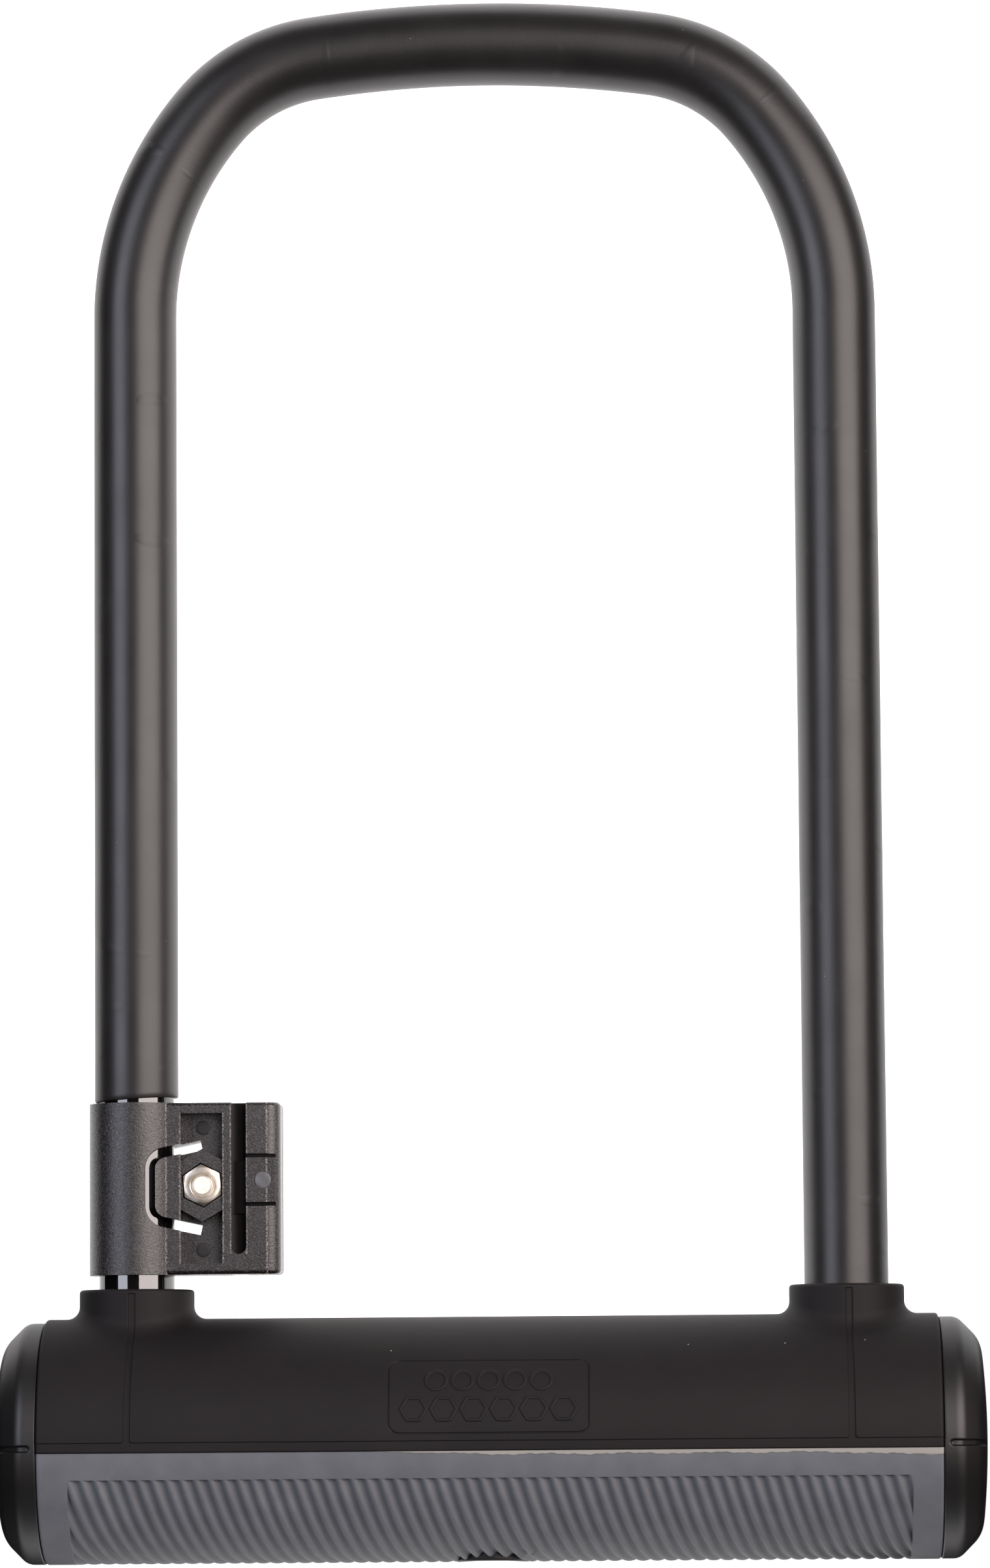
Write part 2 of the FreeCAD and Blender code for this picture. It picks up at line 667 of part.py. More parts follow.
def bracket_front():
    half = bracket_blank()
    nut_x = bolt_line - leg_x
    nut_y = bracket_bottom + bolt_height
    pocket_end = pocket_start + pocket_width
    pocket = wing_block(pocket_start, pocket_end, pocket_margin, bracket_height - pocket_margin, wing_floor, far)
    boss = hexagon_z(hex_boss_radius, wing_floor, bracket_half - hex_boss_drop, nut_x, nut_y, 90)
    half = half.cut(pocket.cut(boss))
    nut_hole = (nut_flats / 2 + nut_fit) / math.cos(math.radians(30))
    half = half.cut(hexagon_z(nut_hole, wing_floor, far, nut_x, nut_y, seat_angle))
    channel_end = channel_start + channel_width
    channel_round = channel_floor + channel_width / 2
    deep = wing_block(channel_start, channel_end, channel_round, bracket_height + 1,
                      bracket_half - channel_depth, far)
    round_end = rod_z(channel_width / 2, bracket_half - channel_depth, far,
                      channel_start + channel_width / 2 - leg_x, bracket_bottom + channel_round)
    step = wing_block(channel_start, channel_end, channel_step_low, channel_step_high,
                      bracket_half - channel_depth, bracket_half - channel_step_depth)
    half = half.cut(deep.fuse(round_end).cut(step))
    pad_end = channel_end + pad_width
    pad = wing_block(channel_end, pad_end, pad_low, pad_low + pad_height,
                     bracket_half - lip_round, bracket_half + pad_proud)
    for low in (pad_low - pad_groove, pad_low + pad_height):
        half = half.cut(wing_block(channel_end, pad_end, low, low + pad_groove,
                                   bracket_half - pad_groove, far))
    gate_mark = rod_z(gate_mark_radius, bracket_half + pad_proud - gate_mark_depth, far,
                      gate_mark_line - leg_x, bracket_bottom + pad_low + pad_height / 2)
    half = half.fuse(pad).cut(gate_mark)
    first_mark = pocket_margin + ejector_margin
    for height in (first_mark, bracket_height - first_mark):
        half = half.cut(rod_z(ejector_radius, wing_floor - ejector_depth, far,
                              pocket_start + pocket_width / 2 - leg_x, bracket_bottom + height))
    return half.cut(clamp_hole()).cut(tongue_slot(-far, far))


def bracket_rear():
    half = bracket_blank().mirror(Vector(0, 0, 0), along_z)
    head_seat = rod_z(clamp_head_radius + clamp_head_fit, -far, clamp_head_height - bracket_half,
                      bolt_line - leg_x, bracket_bottom + bolt_height)
    half = half.cut(clamp_hole()).cut(head_seat)
    return half.cut(tongue_slot(-far, far))


def bracket_nut():
    x = bolt_line - leg_x
    y = bracket_bottom + bolt_height
    corner = nut_flats / 2 / math.cos(math.radians(30))
    nut = hexagon_z(corner, wing_floor, wing_floor + nut_thickness, x, y, seat_angle + nut_slack_turn)
    return nut.cut(rod_z(clamp_thread_radius + thread_fit, -far, far, x, y))


def bracket_screw():
    x = bolt_line - leg_x
    y = bracket_bottom + bolt_height
    head_top = clamp_head_height - bracket_half
    shank_end = wing_floor + nut_thickness + clamp_end_beyond_nut
    screw = rod_z(clamp_head_radius, -bracket_half, head_top, x, y)
    screw = screw.fuse(rod_z(clamp_thread_radius, head_top, shank_end, x, y))
    corner = clamp_socket_flats / 2 / math.cos(math.radians(30))
    return screw.cut(hexagon_z(corner, -bracket_half, clamp_head_height / 2 - bracket_half, x, y, 0))


def main():
    os.makedirs("parts", exist_ok=True)
    save("shackle_bar", shackle_bar())
    save("shackle_sleeve", shackle_sleeve())
    save("crossbar_tube", crossbar_tube())
    save("upper_cover", upper_cover())
    save("lower_grip", lower_grip())
    for name, builder in (("end_cap", end_cap), ("tube_end_disc", end_disc), ("foot_socket", foot_socket),
                          ("bolt_guide", bolt_guide), ("bolt", bolt), ("drive_pin", drive_pin)):
        right = builder()
        save(name + "_right", right)
        save(name + "_left", mirror_x(right))
    save("collar_seal_right", collar_seal(1))
    save("collar_seal_left", collar_seal(-1))
    save("bolt_cam", bolt_cam())
    save("cam_screw", cam_screw())
    save("cam_washer", cam_washer())
    save("core_housing", core_housing())
    save("core_clip", core_clip())
    save("core_plug", core_plug())
    save("drill_guard", drill_guard())
    save("detainer_discs", detainer_discs())
    save("core_sidebar", core_sidebar())
    save("keyway_escutcheon", keyway_escutcheon())
    save("keyway_shutter", keyway_shutter())
    save("bracket_front", bracket_front())
    save("bracket_rear", bracket_rear())
    save("bracket_nut", bracket_nut())
    save("bracket_screw", bracket_screw())


main()
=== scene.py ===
import bmesh
import bpy
import math
import numpy as np
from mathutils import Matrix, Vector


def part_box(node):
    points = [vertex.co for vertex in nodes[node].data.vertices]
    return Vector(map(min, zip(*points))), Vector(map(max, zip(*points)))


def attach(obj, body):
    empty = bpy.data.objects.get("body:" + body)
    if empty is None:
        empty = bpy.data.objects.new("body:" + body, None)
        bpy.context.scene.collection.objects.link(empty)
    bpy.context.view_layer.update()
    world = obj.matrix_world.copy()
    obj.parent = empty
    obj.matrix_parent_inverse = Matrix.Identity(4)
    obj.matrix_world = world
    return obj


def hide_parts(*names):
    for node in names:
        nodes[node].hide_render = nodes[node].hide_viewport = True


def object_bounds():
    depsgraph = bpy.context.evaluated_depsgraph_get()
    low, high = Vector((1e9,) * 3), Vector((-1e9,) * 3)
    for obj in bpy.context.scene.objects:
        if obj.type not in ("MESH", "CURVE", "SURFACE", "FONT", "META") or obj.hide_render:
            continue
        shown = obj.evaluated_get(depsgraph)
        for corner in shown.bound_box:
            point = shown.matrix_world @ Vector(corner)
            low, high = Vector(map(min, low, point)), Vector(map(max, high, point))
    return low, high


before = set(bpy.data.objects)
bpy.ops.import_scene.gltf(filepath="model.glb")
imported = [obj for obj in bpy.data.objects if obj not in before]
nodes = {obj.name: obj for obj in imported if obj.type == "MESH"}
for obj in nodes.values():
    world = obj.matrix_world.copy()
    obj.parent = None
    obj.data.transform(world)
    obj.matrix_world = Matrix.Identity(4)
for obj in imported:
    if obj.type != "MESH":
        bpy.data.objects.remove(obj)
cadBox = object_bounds()
mm = 0.001


def middle(node):
    low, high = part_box(node)
    return (low + high) / 2


axis = middle("upper_cover")                          # a point on the crossbar's axis
axis.y = middle("crossbar_tube").y
legLine = middle("collar_seal_right").x / mm          # from the middle plane to a leg's axis


def smooth(value):
    # 0 below 0, 1 above 1, and an S-shaped rise between them
    value = np.clip(value, 0, 1)
    return value * value * (3 - 2 * value)


def linear(code):
    # sRGB hex to the linear colour that shaders take
    parts = [int(code[i:i + 2], 16) / 255 for i in (1, 3, 5)]
    return tuple(p / 12.92 if p < 0.04045 else ((p + 0.055) / 1.055) ** 2.4 for p in parts) + (1.0,)


def places(*spans):
    # sample places, each span as (from, to, count), sorted and without repeats
    joined = np.concatenate([np.linspace(*span) for span in spans])
    return np.unique(np.round(joined, 4))


def gridFaces(rows, columns):
    # four-sided faces between neighbours on a rows by columns grid
    first = (np.arange(rows - 1)[:, None] * columns + np.arange(columns - 1)).ravel()
    return np.stack([first, first + 1, first + columns + 1, first + columns], axis=1)


# The camera, two box lights over the lock, a white floor and black cards
camera = {
    "place": (0.0410, -0.1418, 1.3997),
    "turn": (5.784, 1.686, -0.435),      # degrees, about X, Y and Z
    "lens": 144.95,
    "sensor": 36.0,
}
boxes = {
    # degrees from the zenith towards +X to the middle, half its spread, and the light's own brightness
    "warmBox": {"lean": 39.0, "half": 31.0, "radiance": 7.0, "colour": "#fff4f0"},
    "coolBox": {"lean": -41.5, "half": 14.5, "radiance": 5.4, "colour": "#eef1ff"},
}
studio = {"reach": 1.5, "from": -0.25, "to": 0.95, "fill": 0.04, "floorSize": 40.0, "floorGlow": 1.0,
          "flagGap": 0.050, "flagHeight": 0.075, "flagLift": 0.001, "cardInset": 0.018, "cardReach": 0.055}


def addCamera():
    data = bpy.data.cameras.new("studioCamera")
    data.lens = camera["lens"]
    data.sensor_width = camera["sensor"]
    data.clip_start = 0.01
    taker = bpy.data.objects.new("studioCamera", data)
    taker.location = camera["place"]
    taker.rotation_euler = [math.radians(a) for a in camera["turn"]]
    bpy.context.scene.collection.objects.link(taker)
    bpy.context.scene.camera = taker


def addLights():
    for name, box in boxes.items():
        data = bpy.data.lights.new(name, "AREA")
        data.shape = "RECTANGLE"
        data.size = 2 * studio["reach"] * math.tan(math.radians(box["half"]))
        data.size_y = studio["to"] - studio["from"]
        data.energy = box["radiance"] * math.pi * data.size * data.size_y
        data.color = linear(box["colour"])[:3]
        lamp = bpy.data.objects.new(name, data)
        lean = math.radians(box["lean"])
        lamp.location = (studio["reach"] * math.sin(lean), (studio["from"] + studio["to"]) / 2,
                         studio["reach"] * math.cos(lean))
        lamp.rotation_euler = (0, lean, 0)
        lamp.visible_camera = False
        bpy.context.scene.collection.objects.link(lamp)
    world = bpy.data.worlds.new("dimRoom")
    world.use_nodes = True
    world.node_tree.nodes["Background"].inputs["Color"].default_value = linear("#f2f2f4")
    world.node_tree.nodes["Background"].inputs["Strength"].default_value = studio["fill"]
    bpy.context.scene.world = world
    bpy.context.scene.view_settings.view_transform = "Standard"


def addNode(tree, kind, settings=None, sockets=None):
    node = tree.nodes.new("ShaderNode" + kind)
    for name, value in (settings or {}).items():
        setattr(node, name, value)
    for name, value in (sockets or {}).items():
        if isinstance(value, bpy.types.NodeSocket):
            tree.links.new(value, node.inputs[name])
        else:
            node.inputs[name].default_value = value
    return node


def newFinish(name, sockets):
    # a material with one Principled shader, its fixed values set on the shader itself
    finish = bpy.data.materials.new(name)
    finish.use_nodes = True
    tree = finish.node_tree
    shader = tree.nodes["Principled BSDF"]
    for socket, value in sockets.items():
        shader.inputs[socket].default_value = value
    spot = addNode(tree, "TexCoord")
    return finish, tree, shader, spot.outputs["Object"]


def addFloor():
    half = studio["floorSize"] / 2
    mesh = bpy.data.meshes.new("studioFloor")
    mesh.from_pydata([(-half, -half, 0), (half, -half, 0), (half, half, 0), (-half, half, 0)],
                     [], [(0, 1, 2, 3)])
    finish = newFinish("whiteCard", {
        "Base Color": linear("#e8e8e8"), "Roughness": 0.9, "Specular IOR Level": 0.1,
        "Emission Color": linear("#ffffff"), "Emission Strength": studio["floorGlow"]})[0]
    mesh.materials.append(finish)
    floor = bpy.data.objects.new("studioFloor", mesh)
    bpy.context.scene.collection.objects.link(floor)


def addFlags():
    # black cards out of the camera's sight: one stands at each side, and one lies under each end
    low, high = cadBox
    gap, tall, lift = studio["flagGap"], studio["flagHeight"], studio["flagLift"]
    points, faces = [], []
    for edge, way in ((low[0], -1), (high[0], 1)):
        out, inner = edge + way * gap, edge - way * studio["cardInset"]
        near, far, under = low[1] - gap, high[1] + gap, low[1] + studio["cardReach"]
        card = [(out, near, lift), (out, far, lift), (out, far, tall), (out, near, tall),
                (inner, near, lift), (out, near, lift), (out, under, lift), (inner, under, lift)]
        faces += [(len(points), len(points) + 1, len(points) + 2, len(points) + 3),
                  (len(points) + 4, len(points) + 5, len(points) + 6, len(points) + 7)]
        points += card
    mesh = bpy.data.meshes.new("blackFlags")
    mesh.from_pydata(points, [], faces)
    finish = newFinish("blackCard", {
        "Base Color": linear("#0a0a0a"), "Roughness": 0.9, "Specular IOR Level": 0.0})[0]
    mesh.materials.append(finish)
    flags = bpy.data.objects.new("blackFlags", mesh)
    flags.visible_camera = False
    bpy.context.scene.collection.objects.link(flags)


addCamera()
addLights()
addFloor()
addFlags()
print("stage: camera, lights and floor")


def addDust(tree, spot, colour, spacing, share):
    # a few pale specks of dust: the nearest point of a random scatter, kept only in some cells
    near = addNode(tree, "TexVoronoi", {"feature": "F1"}, {"Vector": spot, "Scale": 1 / (spacing * mm)})
    cell = addNode(tree, "SeparateColor", None, {"Color": near.outputs["Color"]})
    dot = addNode(tree, "Math", {"operation": "LESS_THAN"}, {0: near.outputs["Distance"], 1: 0.035})
    some = addNode(tree, "Math", {"operation": "LESS_THAN"}, {0: cell.outputs["Red"], 1: share})
    speck = addNode(tree, "Math", {"operation": "MULTIPLY"}, {0: dot.outputs[0], 1: some.outputs[0]})
    mix = addNode(tree, "Mix", {"data_type": "RGBA"},
                  {0: speck.outputs[0], 6: colour, 7: linear("#8d8884")})
    return mix.outputs[2]


def tinted(tree, spot, first, second, size, contrast):
    # a slow drift between two colours, with patches of the given size in mm
    drift = addNode(tree, "TexNoise", None, {"Vector": spot, "Scale": 1 / (size * mm), "Detail": 3.0})
    share = addNode(tree, "MapRange", {"clamp": True},
                    {0: drift.outputs[0], 1: 0.5 - contrast, 2: 0.5 + contrast})
    mix = addNode(tree, "Mix", {"data_type": "RGBA"},
                  {0: share.outputs[0], 6: linear(first), 7: linear(second)})
    return mix.outputs[2]


def grained(tree, spot, size, height):
    # bump of the given grain size and height in mm
    grain = addNode(tree, "TexNoise", None, {"Vector": spot, "Scale": 1 / (size * mm), "Detail": 2.0})
    return addNode(tree, "Bump", None,
                   {"Strength": 1.0, "Distance": height * mm, "Height": grain.outputs[0]})


# Plasticised PVC, extruded: satin black, two soft bright lines along it and fine ripples across
def extrudedVinyl():
    finish, tree, shader, spot = newFinish("extrudedVinyl", {
        "Roughness": 0.38, "IOR": 1.47, "Base Color": linear("#141212")})
    base = tinted(tree, spot, "#121010", "#191717", 9.0, 0.2)
    tree.links.new(addDust(tree, spot, base, 2.6, 0.10), shader.inputs["Base Color"])
    flat = addNode(tree, "TexCoord").outputs["UV"]
    stretch = addNode(tree, "Mapping", None, {"Vector": flat, "Scale": (2600.0, 520.0, 1.0)})
    ripple = addNode(tree, "TexNoise", None, {"Vector": stretch.outputs[0], "Scale": 1.0, "Detail": 2.0,
                                              "Distortion": 0.6})
    fine = addNode(tree, "Bump", None,
                   {"Strength": 1.0, "Distance": 0.012 * mm, "Height": ripple.outputs[0]})
    slow = addNode(tree, "Mapping", None, {"Vector": flat, "Scale": (160.0, 60.0, 1.0)})
    crease = addNode(tree, "TexNoise", None, {"Vector": slow.outputs[0], "Scale": 1.0, "Detail": 1.0})
    sharp = addNode(tree, "MapRange", {"clamp": True}, {0: crease.outputs[0], 1: 0.66, 2: 0.80})
    folded = addNode(tree, "Bump", None, {"Strength": 0.6, "Distance": 0.14 * mm,
                                          "Height": sharp.outputs[0], "Normal": fine.outputs[0]})
    tree.links.new(folded.outputs[0], shader.inputs["Normal"])
    wear = addNode(tree, "TexNoise", None, {"Vector": spot, "Scale": 60.0, "Detail": 4.0})
    gloss = addNode(tree, "MapRange", None, {0: wear.outputs[0], 3: 0.33, 4: 0.43})
    tree.links.new(gloss.outputs[0], shader.inputs["Roughness"])
    return finish


# Black enamel, sprayed on the bent steel bar and stoved: mirror-like, with a hint of orange peel
def stovedEnamel():
    finish, tree, shader, spot = newFinish("stovedEnamel", {
        "Roughness": 0.05, "IOR": 1.8, "Base Color": linear("#070707")})
    tree.links.new(addDust(tree, spot, tinted(tree, spot, "#060606", "#0b0a0a", 5.0, 0.3), 2.2, 0.12),
                   shader.inputs["Base Color"])
    tree.links.new(grained(tree, spot, 1.8, 0.004).outputs[0], shader.inputs["Normal"])
    return finish


# ABS moulded in an etched tool: dead matt warm black with a very fine even grain
def etchedAbs():
    finish, tree, shader, spot = newFinish("etchedAbs", {
        "Roughness": 0.66, "IOR": 1.5, "Specular IOR Level": 0.22, "Base Color": linear("#131111")})
    base = tinted(tree, spot, "#110e0f", "#151213", 14.0, 0.2)
    tree.links.new(addDust(tree, spot, base, 4.2, 0.14), shader.inputs["Base Color"])
    tree.links.new(grained(tree, spot, 0.35, 0.012).outputs[0], shader.inputs["Normal"])
    return finish


# ABS moulded in a polished tool: semi-gloss black with softly waved highlights
def polishedAbs():
    finish, tree, shader, spot = newFinish("polishedAbs", {
        "Roughness": 0.46, "IOR": 1.5, "Base Color": linear("#0d0b0b")})
    tree.links.new(addDust(tree, spot, tinted(tree, spot, "#0b0a0a", "#110f0f", 8.0, 0.25), 3.4, 0.10),
                   shader.inputs["Base Color"])
    tree.links.new(grained(tree, spot, 2.4, 0.010).outputs[0], shader.inputs["Normal"])
    return finish


# Thermoplastic rubber overmould: dry blue grey, paler where it is scuffed and along the torn flash
def mouldedRubber():
    finish, tree, shader, spot = newFinish("mouldedRubber", {
        "Roughness": 0.66, "IOR": 1.5, "Base Color": linear("#4d5155")})
    base = tinted(tree, spot, "#505358", "#5a5d63", 6.0, 0.25)
    smear = addNode(tree, "Mapping", None, {"Vector": spot, "Scale": (90.0, 40.0, 60.0)})
    scuff = addNode(tree, "TexNoise", None, {"Vector": smear.outputs[0], "Scale": 1.0, "Detail": 6.0,
                                             "Roughness": 0.65})
    worn = addNode(tree, "MapRange", {"clamp": True}, {0: scuff.outputs[0], 1: 0.60, 2: 0.80, 4: 0.5})
    paler = addNode(tree, "Mix", {"data_type": "RGBA"}, {0: worn.outputs[0], 6: base, 7: linear("#74787c")})
    torn = addNode(tree, "Attribute", {"attribute_name": "flash"})
    edged = addNode(tree, "Mix", {"data_type": "RGBA"},
                    {0: torn.outputs["Fac"], 6: paler.outputs[2], 7: linear("#87847f")})
    tree.links.new(addDust(tree, spot, edged.outputs[2], 3.2, 0.10), shader.inputs["Base Color"])
    tree.links.new(grained(tree, spot, 0.30, 0.015).outputs[0], shader.inputs["Normal"])
    return finish


def within(tree, parts, spans):
    # 1 where every listed coordinate, in mm, lies inside its span
    share = None
    for axisName, (first, last) in spans.items():
        centre, half = (first + last) / 2 * mm, (last - first) / 2 * mm
        inside = addNode(tree, "Math", {"operation": "COMPARE"},
                         {0: parts.outputs[axisName], 1: centre, 2: half})
        if share is None:
            share = inside
        else:
            share = addNode(tree, "Math", {"operation": "MULTIPLY"},
                            {0: share.outputs[0], 1: inside.outputs[0]})
    return share


# Spaces in mm from the leg's axis at the bracket's low end: the channel and the two grooves by the pad,
# where shade is painted in as a near black colour
shadedRecesses = [
    {"X": (20.95, 24.4), "Z": (-8.0, 7.3)},
    {"X": (24.3, 30.7), "Y": (25.15, 26.05), "Z": (3.0, 12.0)},
    {"X": (24.3, 30.7), "Y": (14.65, 15.55), "Z": (3.0, 12.0)},
]
# painted highlights: paler lines on the ridge beside the leg, the pocket's rim, the channel's rims and the
# lip
edges = [
    {"X": (6.75, 7.15), "Z": (3.0, 12.0)},
    {"X": (9.75, 10.1), "Y": (2.35, 34.85), "Z": (5.0, 12.0)},
    {"X": (19.1, 19.45), "Y": (2.35, 34.85), "Z": (5.0, 12.0)},
    {"X": (20.75, 21.1), "Y": (4.4, 38.0), "Z": (6.9, 12.0)},
    {"X": (24.25, 24.55), "Y": (4.4, 38.0), "Z": (6.9, 12.0)},
    {"X": (28.6, 28.95), "Z": (3.0, 12.0)},
]


def anyOf(tree, parts, spaces):
    # 1 inside any of the listed spaces
    share = within(tree, parts, spaces[0])
    for spans in spaces[1:]:
        share = addNode(tree, "Math", {"operation": "MAXIMUM"},
                        {0: share.outputs[0], 1: within(tree, parts, spans).outputs[0]})
    return share


# Glass-filled nylon moulded in a coarse spark-eroded tool: charcoal with paler flecks, partly the fill's
# own speckle and partly painted glints;
# glossier and less grainy in the recesses, where the tool was left smoother, and painted near black there
# as shade
def sparkedNylon():
    finish, tree, shader, spot = newFinish("sparkedNylon", {
        "Roughness": 0.36, "IOR": 1.56, "Base Color": linear("#231f20")})
    base = tinted(tree, spot, "#0c0a0a", "#151213", 0.6, 0.12)
    # paler flecks in the colour: partly the glass fill's own speckle, partly painted glints
    glint = addNode(tree, "TexNoise", None, {"Vector": spot, "Scale": 1 / (0.30 * mm), "Detail": 2.0})
    fleck = addNode(tree, "MapRange", {"clamp": True}, {0: glint.outputs[0], 1: 0.56, 2: 0.74})
    flecked = addNode(tree, "Mix", {"data_type": "RGBA"},
                      {0: fleck.outputs[0], 6: base, 7: linear("#544d4d")})
    shifted = addNode(tree, "VectorMath", {"operation": "SUBTRACT"}, {
        0: spot, 1: (-legLine * mm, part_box("bracket_front")[0].y, middle("shackle_bar").z)})
    parts = addNode(tree, "SeparateXYZ", None, {0: shifted.outputs[0]})
    # painted shade: 1 inside the recesses, where the colour is darkened to stand for their shadow
    paintedRecessShade = anyOf(tree, parts, shadedRecesses)
    # painted highlight: a paler colour along the edges, broken up by the grain, stands for their bright
    # lines of light
    highlightBreakup = addNode(tree, "MapRange", {"clamp": True}, {0: glint.outputs[0], 1: 0.40, 2: 0.66})
    paintedEdgeHighlight = addNode(tree, "Math", {"operation": "MULTIPLY"},
                     {0: anyOf(tree, parts, edges).outputs[0], 1: highlightBreakup.outputs[0]})
    paler = addNode(tree, "Mix", {"data_type": "RGBA"},
                    {0: paintedEdgeHighlight.outputs[0], 6: flecked.outputs[2], 7: linear("#857d79")})
    tone = addNode(tree, "Mix", {"data_type": "RGBA"},
                   {0: paintedRecessShade.outputs[0], 6: paler.outputs[2], 7: linear("#0a0808")})
    tree.links.new(tone.outputs[2], shader.inputs["Base Color"])
    pits = addNode(tree, "TexNoise", None, {"Vector": spot, "Scale": 1 / (0.42 * mm), "Detail": 3.0,
                                            "Roughness": 0.7})
    strength = addNode(tree, "MapRange", None, {0: paintedRecessShade.outputs[0], 3: 1.0, 4: 0.12})
    deep = addNode(tree, "Bump", None, {"Strength": strength.outputs[0], "Distance": 0.11 * mm,
                                        "Height": pits.outputs[0]})
    tree.links.new(deep.outputs[0], shader.inputs["Normal"])
    gloss = addNode(tree, "MapRange", None, {0: pits.outputs[0], 1: 0.3, 2: 0.7, 3: 0.20, 4: 0.36})
    matt = addNode(tree, "Mix", {"data_type": "FLOAT"},
                   {0: paintedRecessShade.outputs[0], 2: gloss.outputs[0], 3: 0.20})
    tree.links.new(matt.outputs[0], shader.inputs["Roughness"])
    return finish


# Plain metals: the colour of each, how it was cut or plated, and its tool marks
def metal(name, first, second, roughness, grain, height, stretch=(1, 1, 1)):
    finish, tree, shader, spot = newFinish(name, {"Metallic": 1.0, "Roughness": roughness})
    tree.links.new(tinted(tree, spot, first, second, 2.0, 0.2), shader.inputs["Base Color"])
    marks = addNode(tree, "Mapping", None, {"Vector": spot, "Scale": stretch})
    tree.links.new(grained(tree, marks.outputs[0], grain, height).outputs[0], shader.inputs["Normal"])
    return finish


# Plain mouldings and rubber out of sight: colour, sheen and a fine grain
def moulding(name, first, second, roughness, grain, height):
    finish, tree, shader, spot = newFinish(name, {"Roughness": roughness, "IOR": 1.5})
    tree.links.new(tinted(tree, spot, first, second, 3.0, 0.2), shader.inputs["Base Color"])
    tree.links.new(grained(tree, spot, grain, height).outputs[0], shader.inputs["Normal"])
    return finish


finishes = {
    "vinyl": extrudedVinyl(),
    "enamel": stovedEnamel(),
    "cover": etchedAbs(),
    "cap": polishedAbs(),
    "rubber": mouldedRubber(),
    "nylon": sparkedNylon(),
    "zinc": metal("zincPlatedSteel", "#b4aa9c", "#e2dace", 0.34, 0.5, 0.016),
    "zincRough": metal("zincPlatedCutEnd", "#e2dcd2", "#f3eee6", 0.55, 0.4, 0.020),
    "drawn": metal("drawnSteelTube", "#77777a", "#8a8a8c", 0.34, 0.3, 0.004, (0.05, 1, 1)),
    "turned": metal("turnedSteel", "#6d6e72", "#84858a", 0.30, 0.2, 0.003, (1, 0.1, 1)),
    "hardened": metal("groundHardSteel", "#55565a", "#6b6c70", 0.22, 0.2, 0.003, (0.1, 1, 1)),
    "brass": metal("turnedBrass", "#b6924a", "#c9a75e", 0.26, 0.2, 0.003, (1, 0.1, 1)),
    "seal": moulding("nitrileRubber", "#131313", "#1a1919", 0.55, 0.3, 0.010),
    "acetal": moulding("machinedAcetal", "#0e0e0f", "#141415", 0.38, 0.4, 0.006),
    "pinMark": moulding("sparkedNylonPinMark", "#0d0b0c", "#131112", 0.55, 0.5, 0.010),
    "cutMark": moulding("cutNylonGate", "#4b4b4e", "#626265", 0.42, 0.25, 0.020),
    "natural": moulding("naturalNylon", "#c9c4b4", "#d6d2c4", 0.45, 0.4, 0.006),
}
worn = {
    "enamel": ["shackle_bar"],
    "drawn": ["crossbar_tube"],
    "turned": ["tube_end_disc_left", "tube_end_disc_right", "foot_socket_left", "foot_socket_right",
               "bolt_cam", "cam_screw", "cam_washer"],
    "hardened": ["bolt_left", "bolt_right", "drive_pin_left", "drive_pin_right", "drill_guard",
                 "core_clip", "core_sidebar"],
    "brass": ["core_housing", "core_plug", "detainer_discs"],
    "seal": ["collar_seal_left", "collar_seal_right"],
    "natural": ["bolt_guide_left", "bolt_guide_right"],
    "acetal": ["keyway_escutcheon", "keyway_shutter"],
    "cap": ["end_cap_left", "end_cap_right"],
    "cover": ["upper_cover"],
    "rubber": ["lower_grip"],
    "vinyl": ["shackle_sleeve"],
    "nylon": ["bracket_front", "bracket_rear"],
    "zinc": ["bracket_nut", "bracket_screw"],
}
for key, names in worn.items():
    for name in names:
        nodes[name].data.materials.clear()
        nodes[name].data.materials.append(finishes[key])
print("stage: finishes on every node")


def addPiece(name, points, faces, finish, body, slot, instead, marks=None, flat=None, sharp=40):
    # points are in mm from the crossbar's axis; they go to the frame, and seams and poles are welded
    mesh = bpy.data.meshes.new(name)
    spots = points.reshape(-1, 3) * mm + np.array([0.0, axis.y, axis.z])
    mesh.from_pydata(spots.tolist(), [], faces.tolist())
    for label, values in (marks or {}).items():
        layer = mesh.attributes.new(label, "FLOAT", "POINT")
        layer.data.foreach_set("value", values.ravel().astype(np.float32))
    if flat is not None:
        layer = mesh.uv_layers.new(name="alongAndRound")
        layer.data.foreach_set("uv", flat.reshape(-1, 2)[faces.ravel()].astype(np.float32).ravel())
    work = bmesh.new()
    work.from_mesh(mesh)
    bmesh.ops.remove_doubles(work, verts=work.verts, dist=0.001 * mm)
    bmesh.ops.delete(work, geom=[v for v in work.verts if not v.link_faces], context="VERTS")
    bmesh.ops.recalc_face_normals(work, faces=work.faces)
    work.to_mesh(mesh)
    work.free()
    mesh.shade_smooth()
    mesh.set_sharp_from_angle(angle=math.radians(sharp))
    mesh.materials.append(finishes[finish])
    piece = bpy.data.objects.new(name, mesh)
    bpy.context.scene.collection.objects.link(piece)
    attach(piece, body)
    if instead:
        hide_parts(*instead)
    return piece


def addGrid(name, points, *rest, **more):
    # a piece whose points form a single grid
    return addPiece(name, points, gridFaces(*points.shape[:2]), *rest, **more)


# The vinyl sleeve follows the bar: a straight leg, a wide bend, a tight bend and a nearly flat crown
sleeve = {
    "shoulder": 70.4,
    "shoulderTurn": 40.0,
    "corner": 36.8,
    "crown": 266.0,
    "wall": 0.85,
    "cutRise": 1.0,          # the left end is cut this much out of square
    "stations": 620,
    "round": 72,
    "sag": 0.035,            # slow unevenness of the extruded skin
    "lip": 0.16,             # bevel at each cut end
    "endGap": 0.4,           # from the bracket's top to the left end
    "innerStations": 90,
}


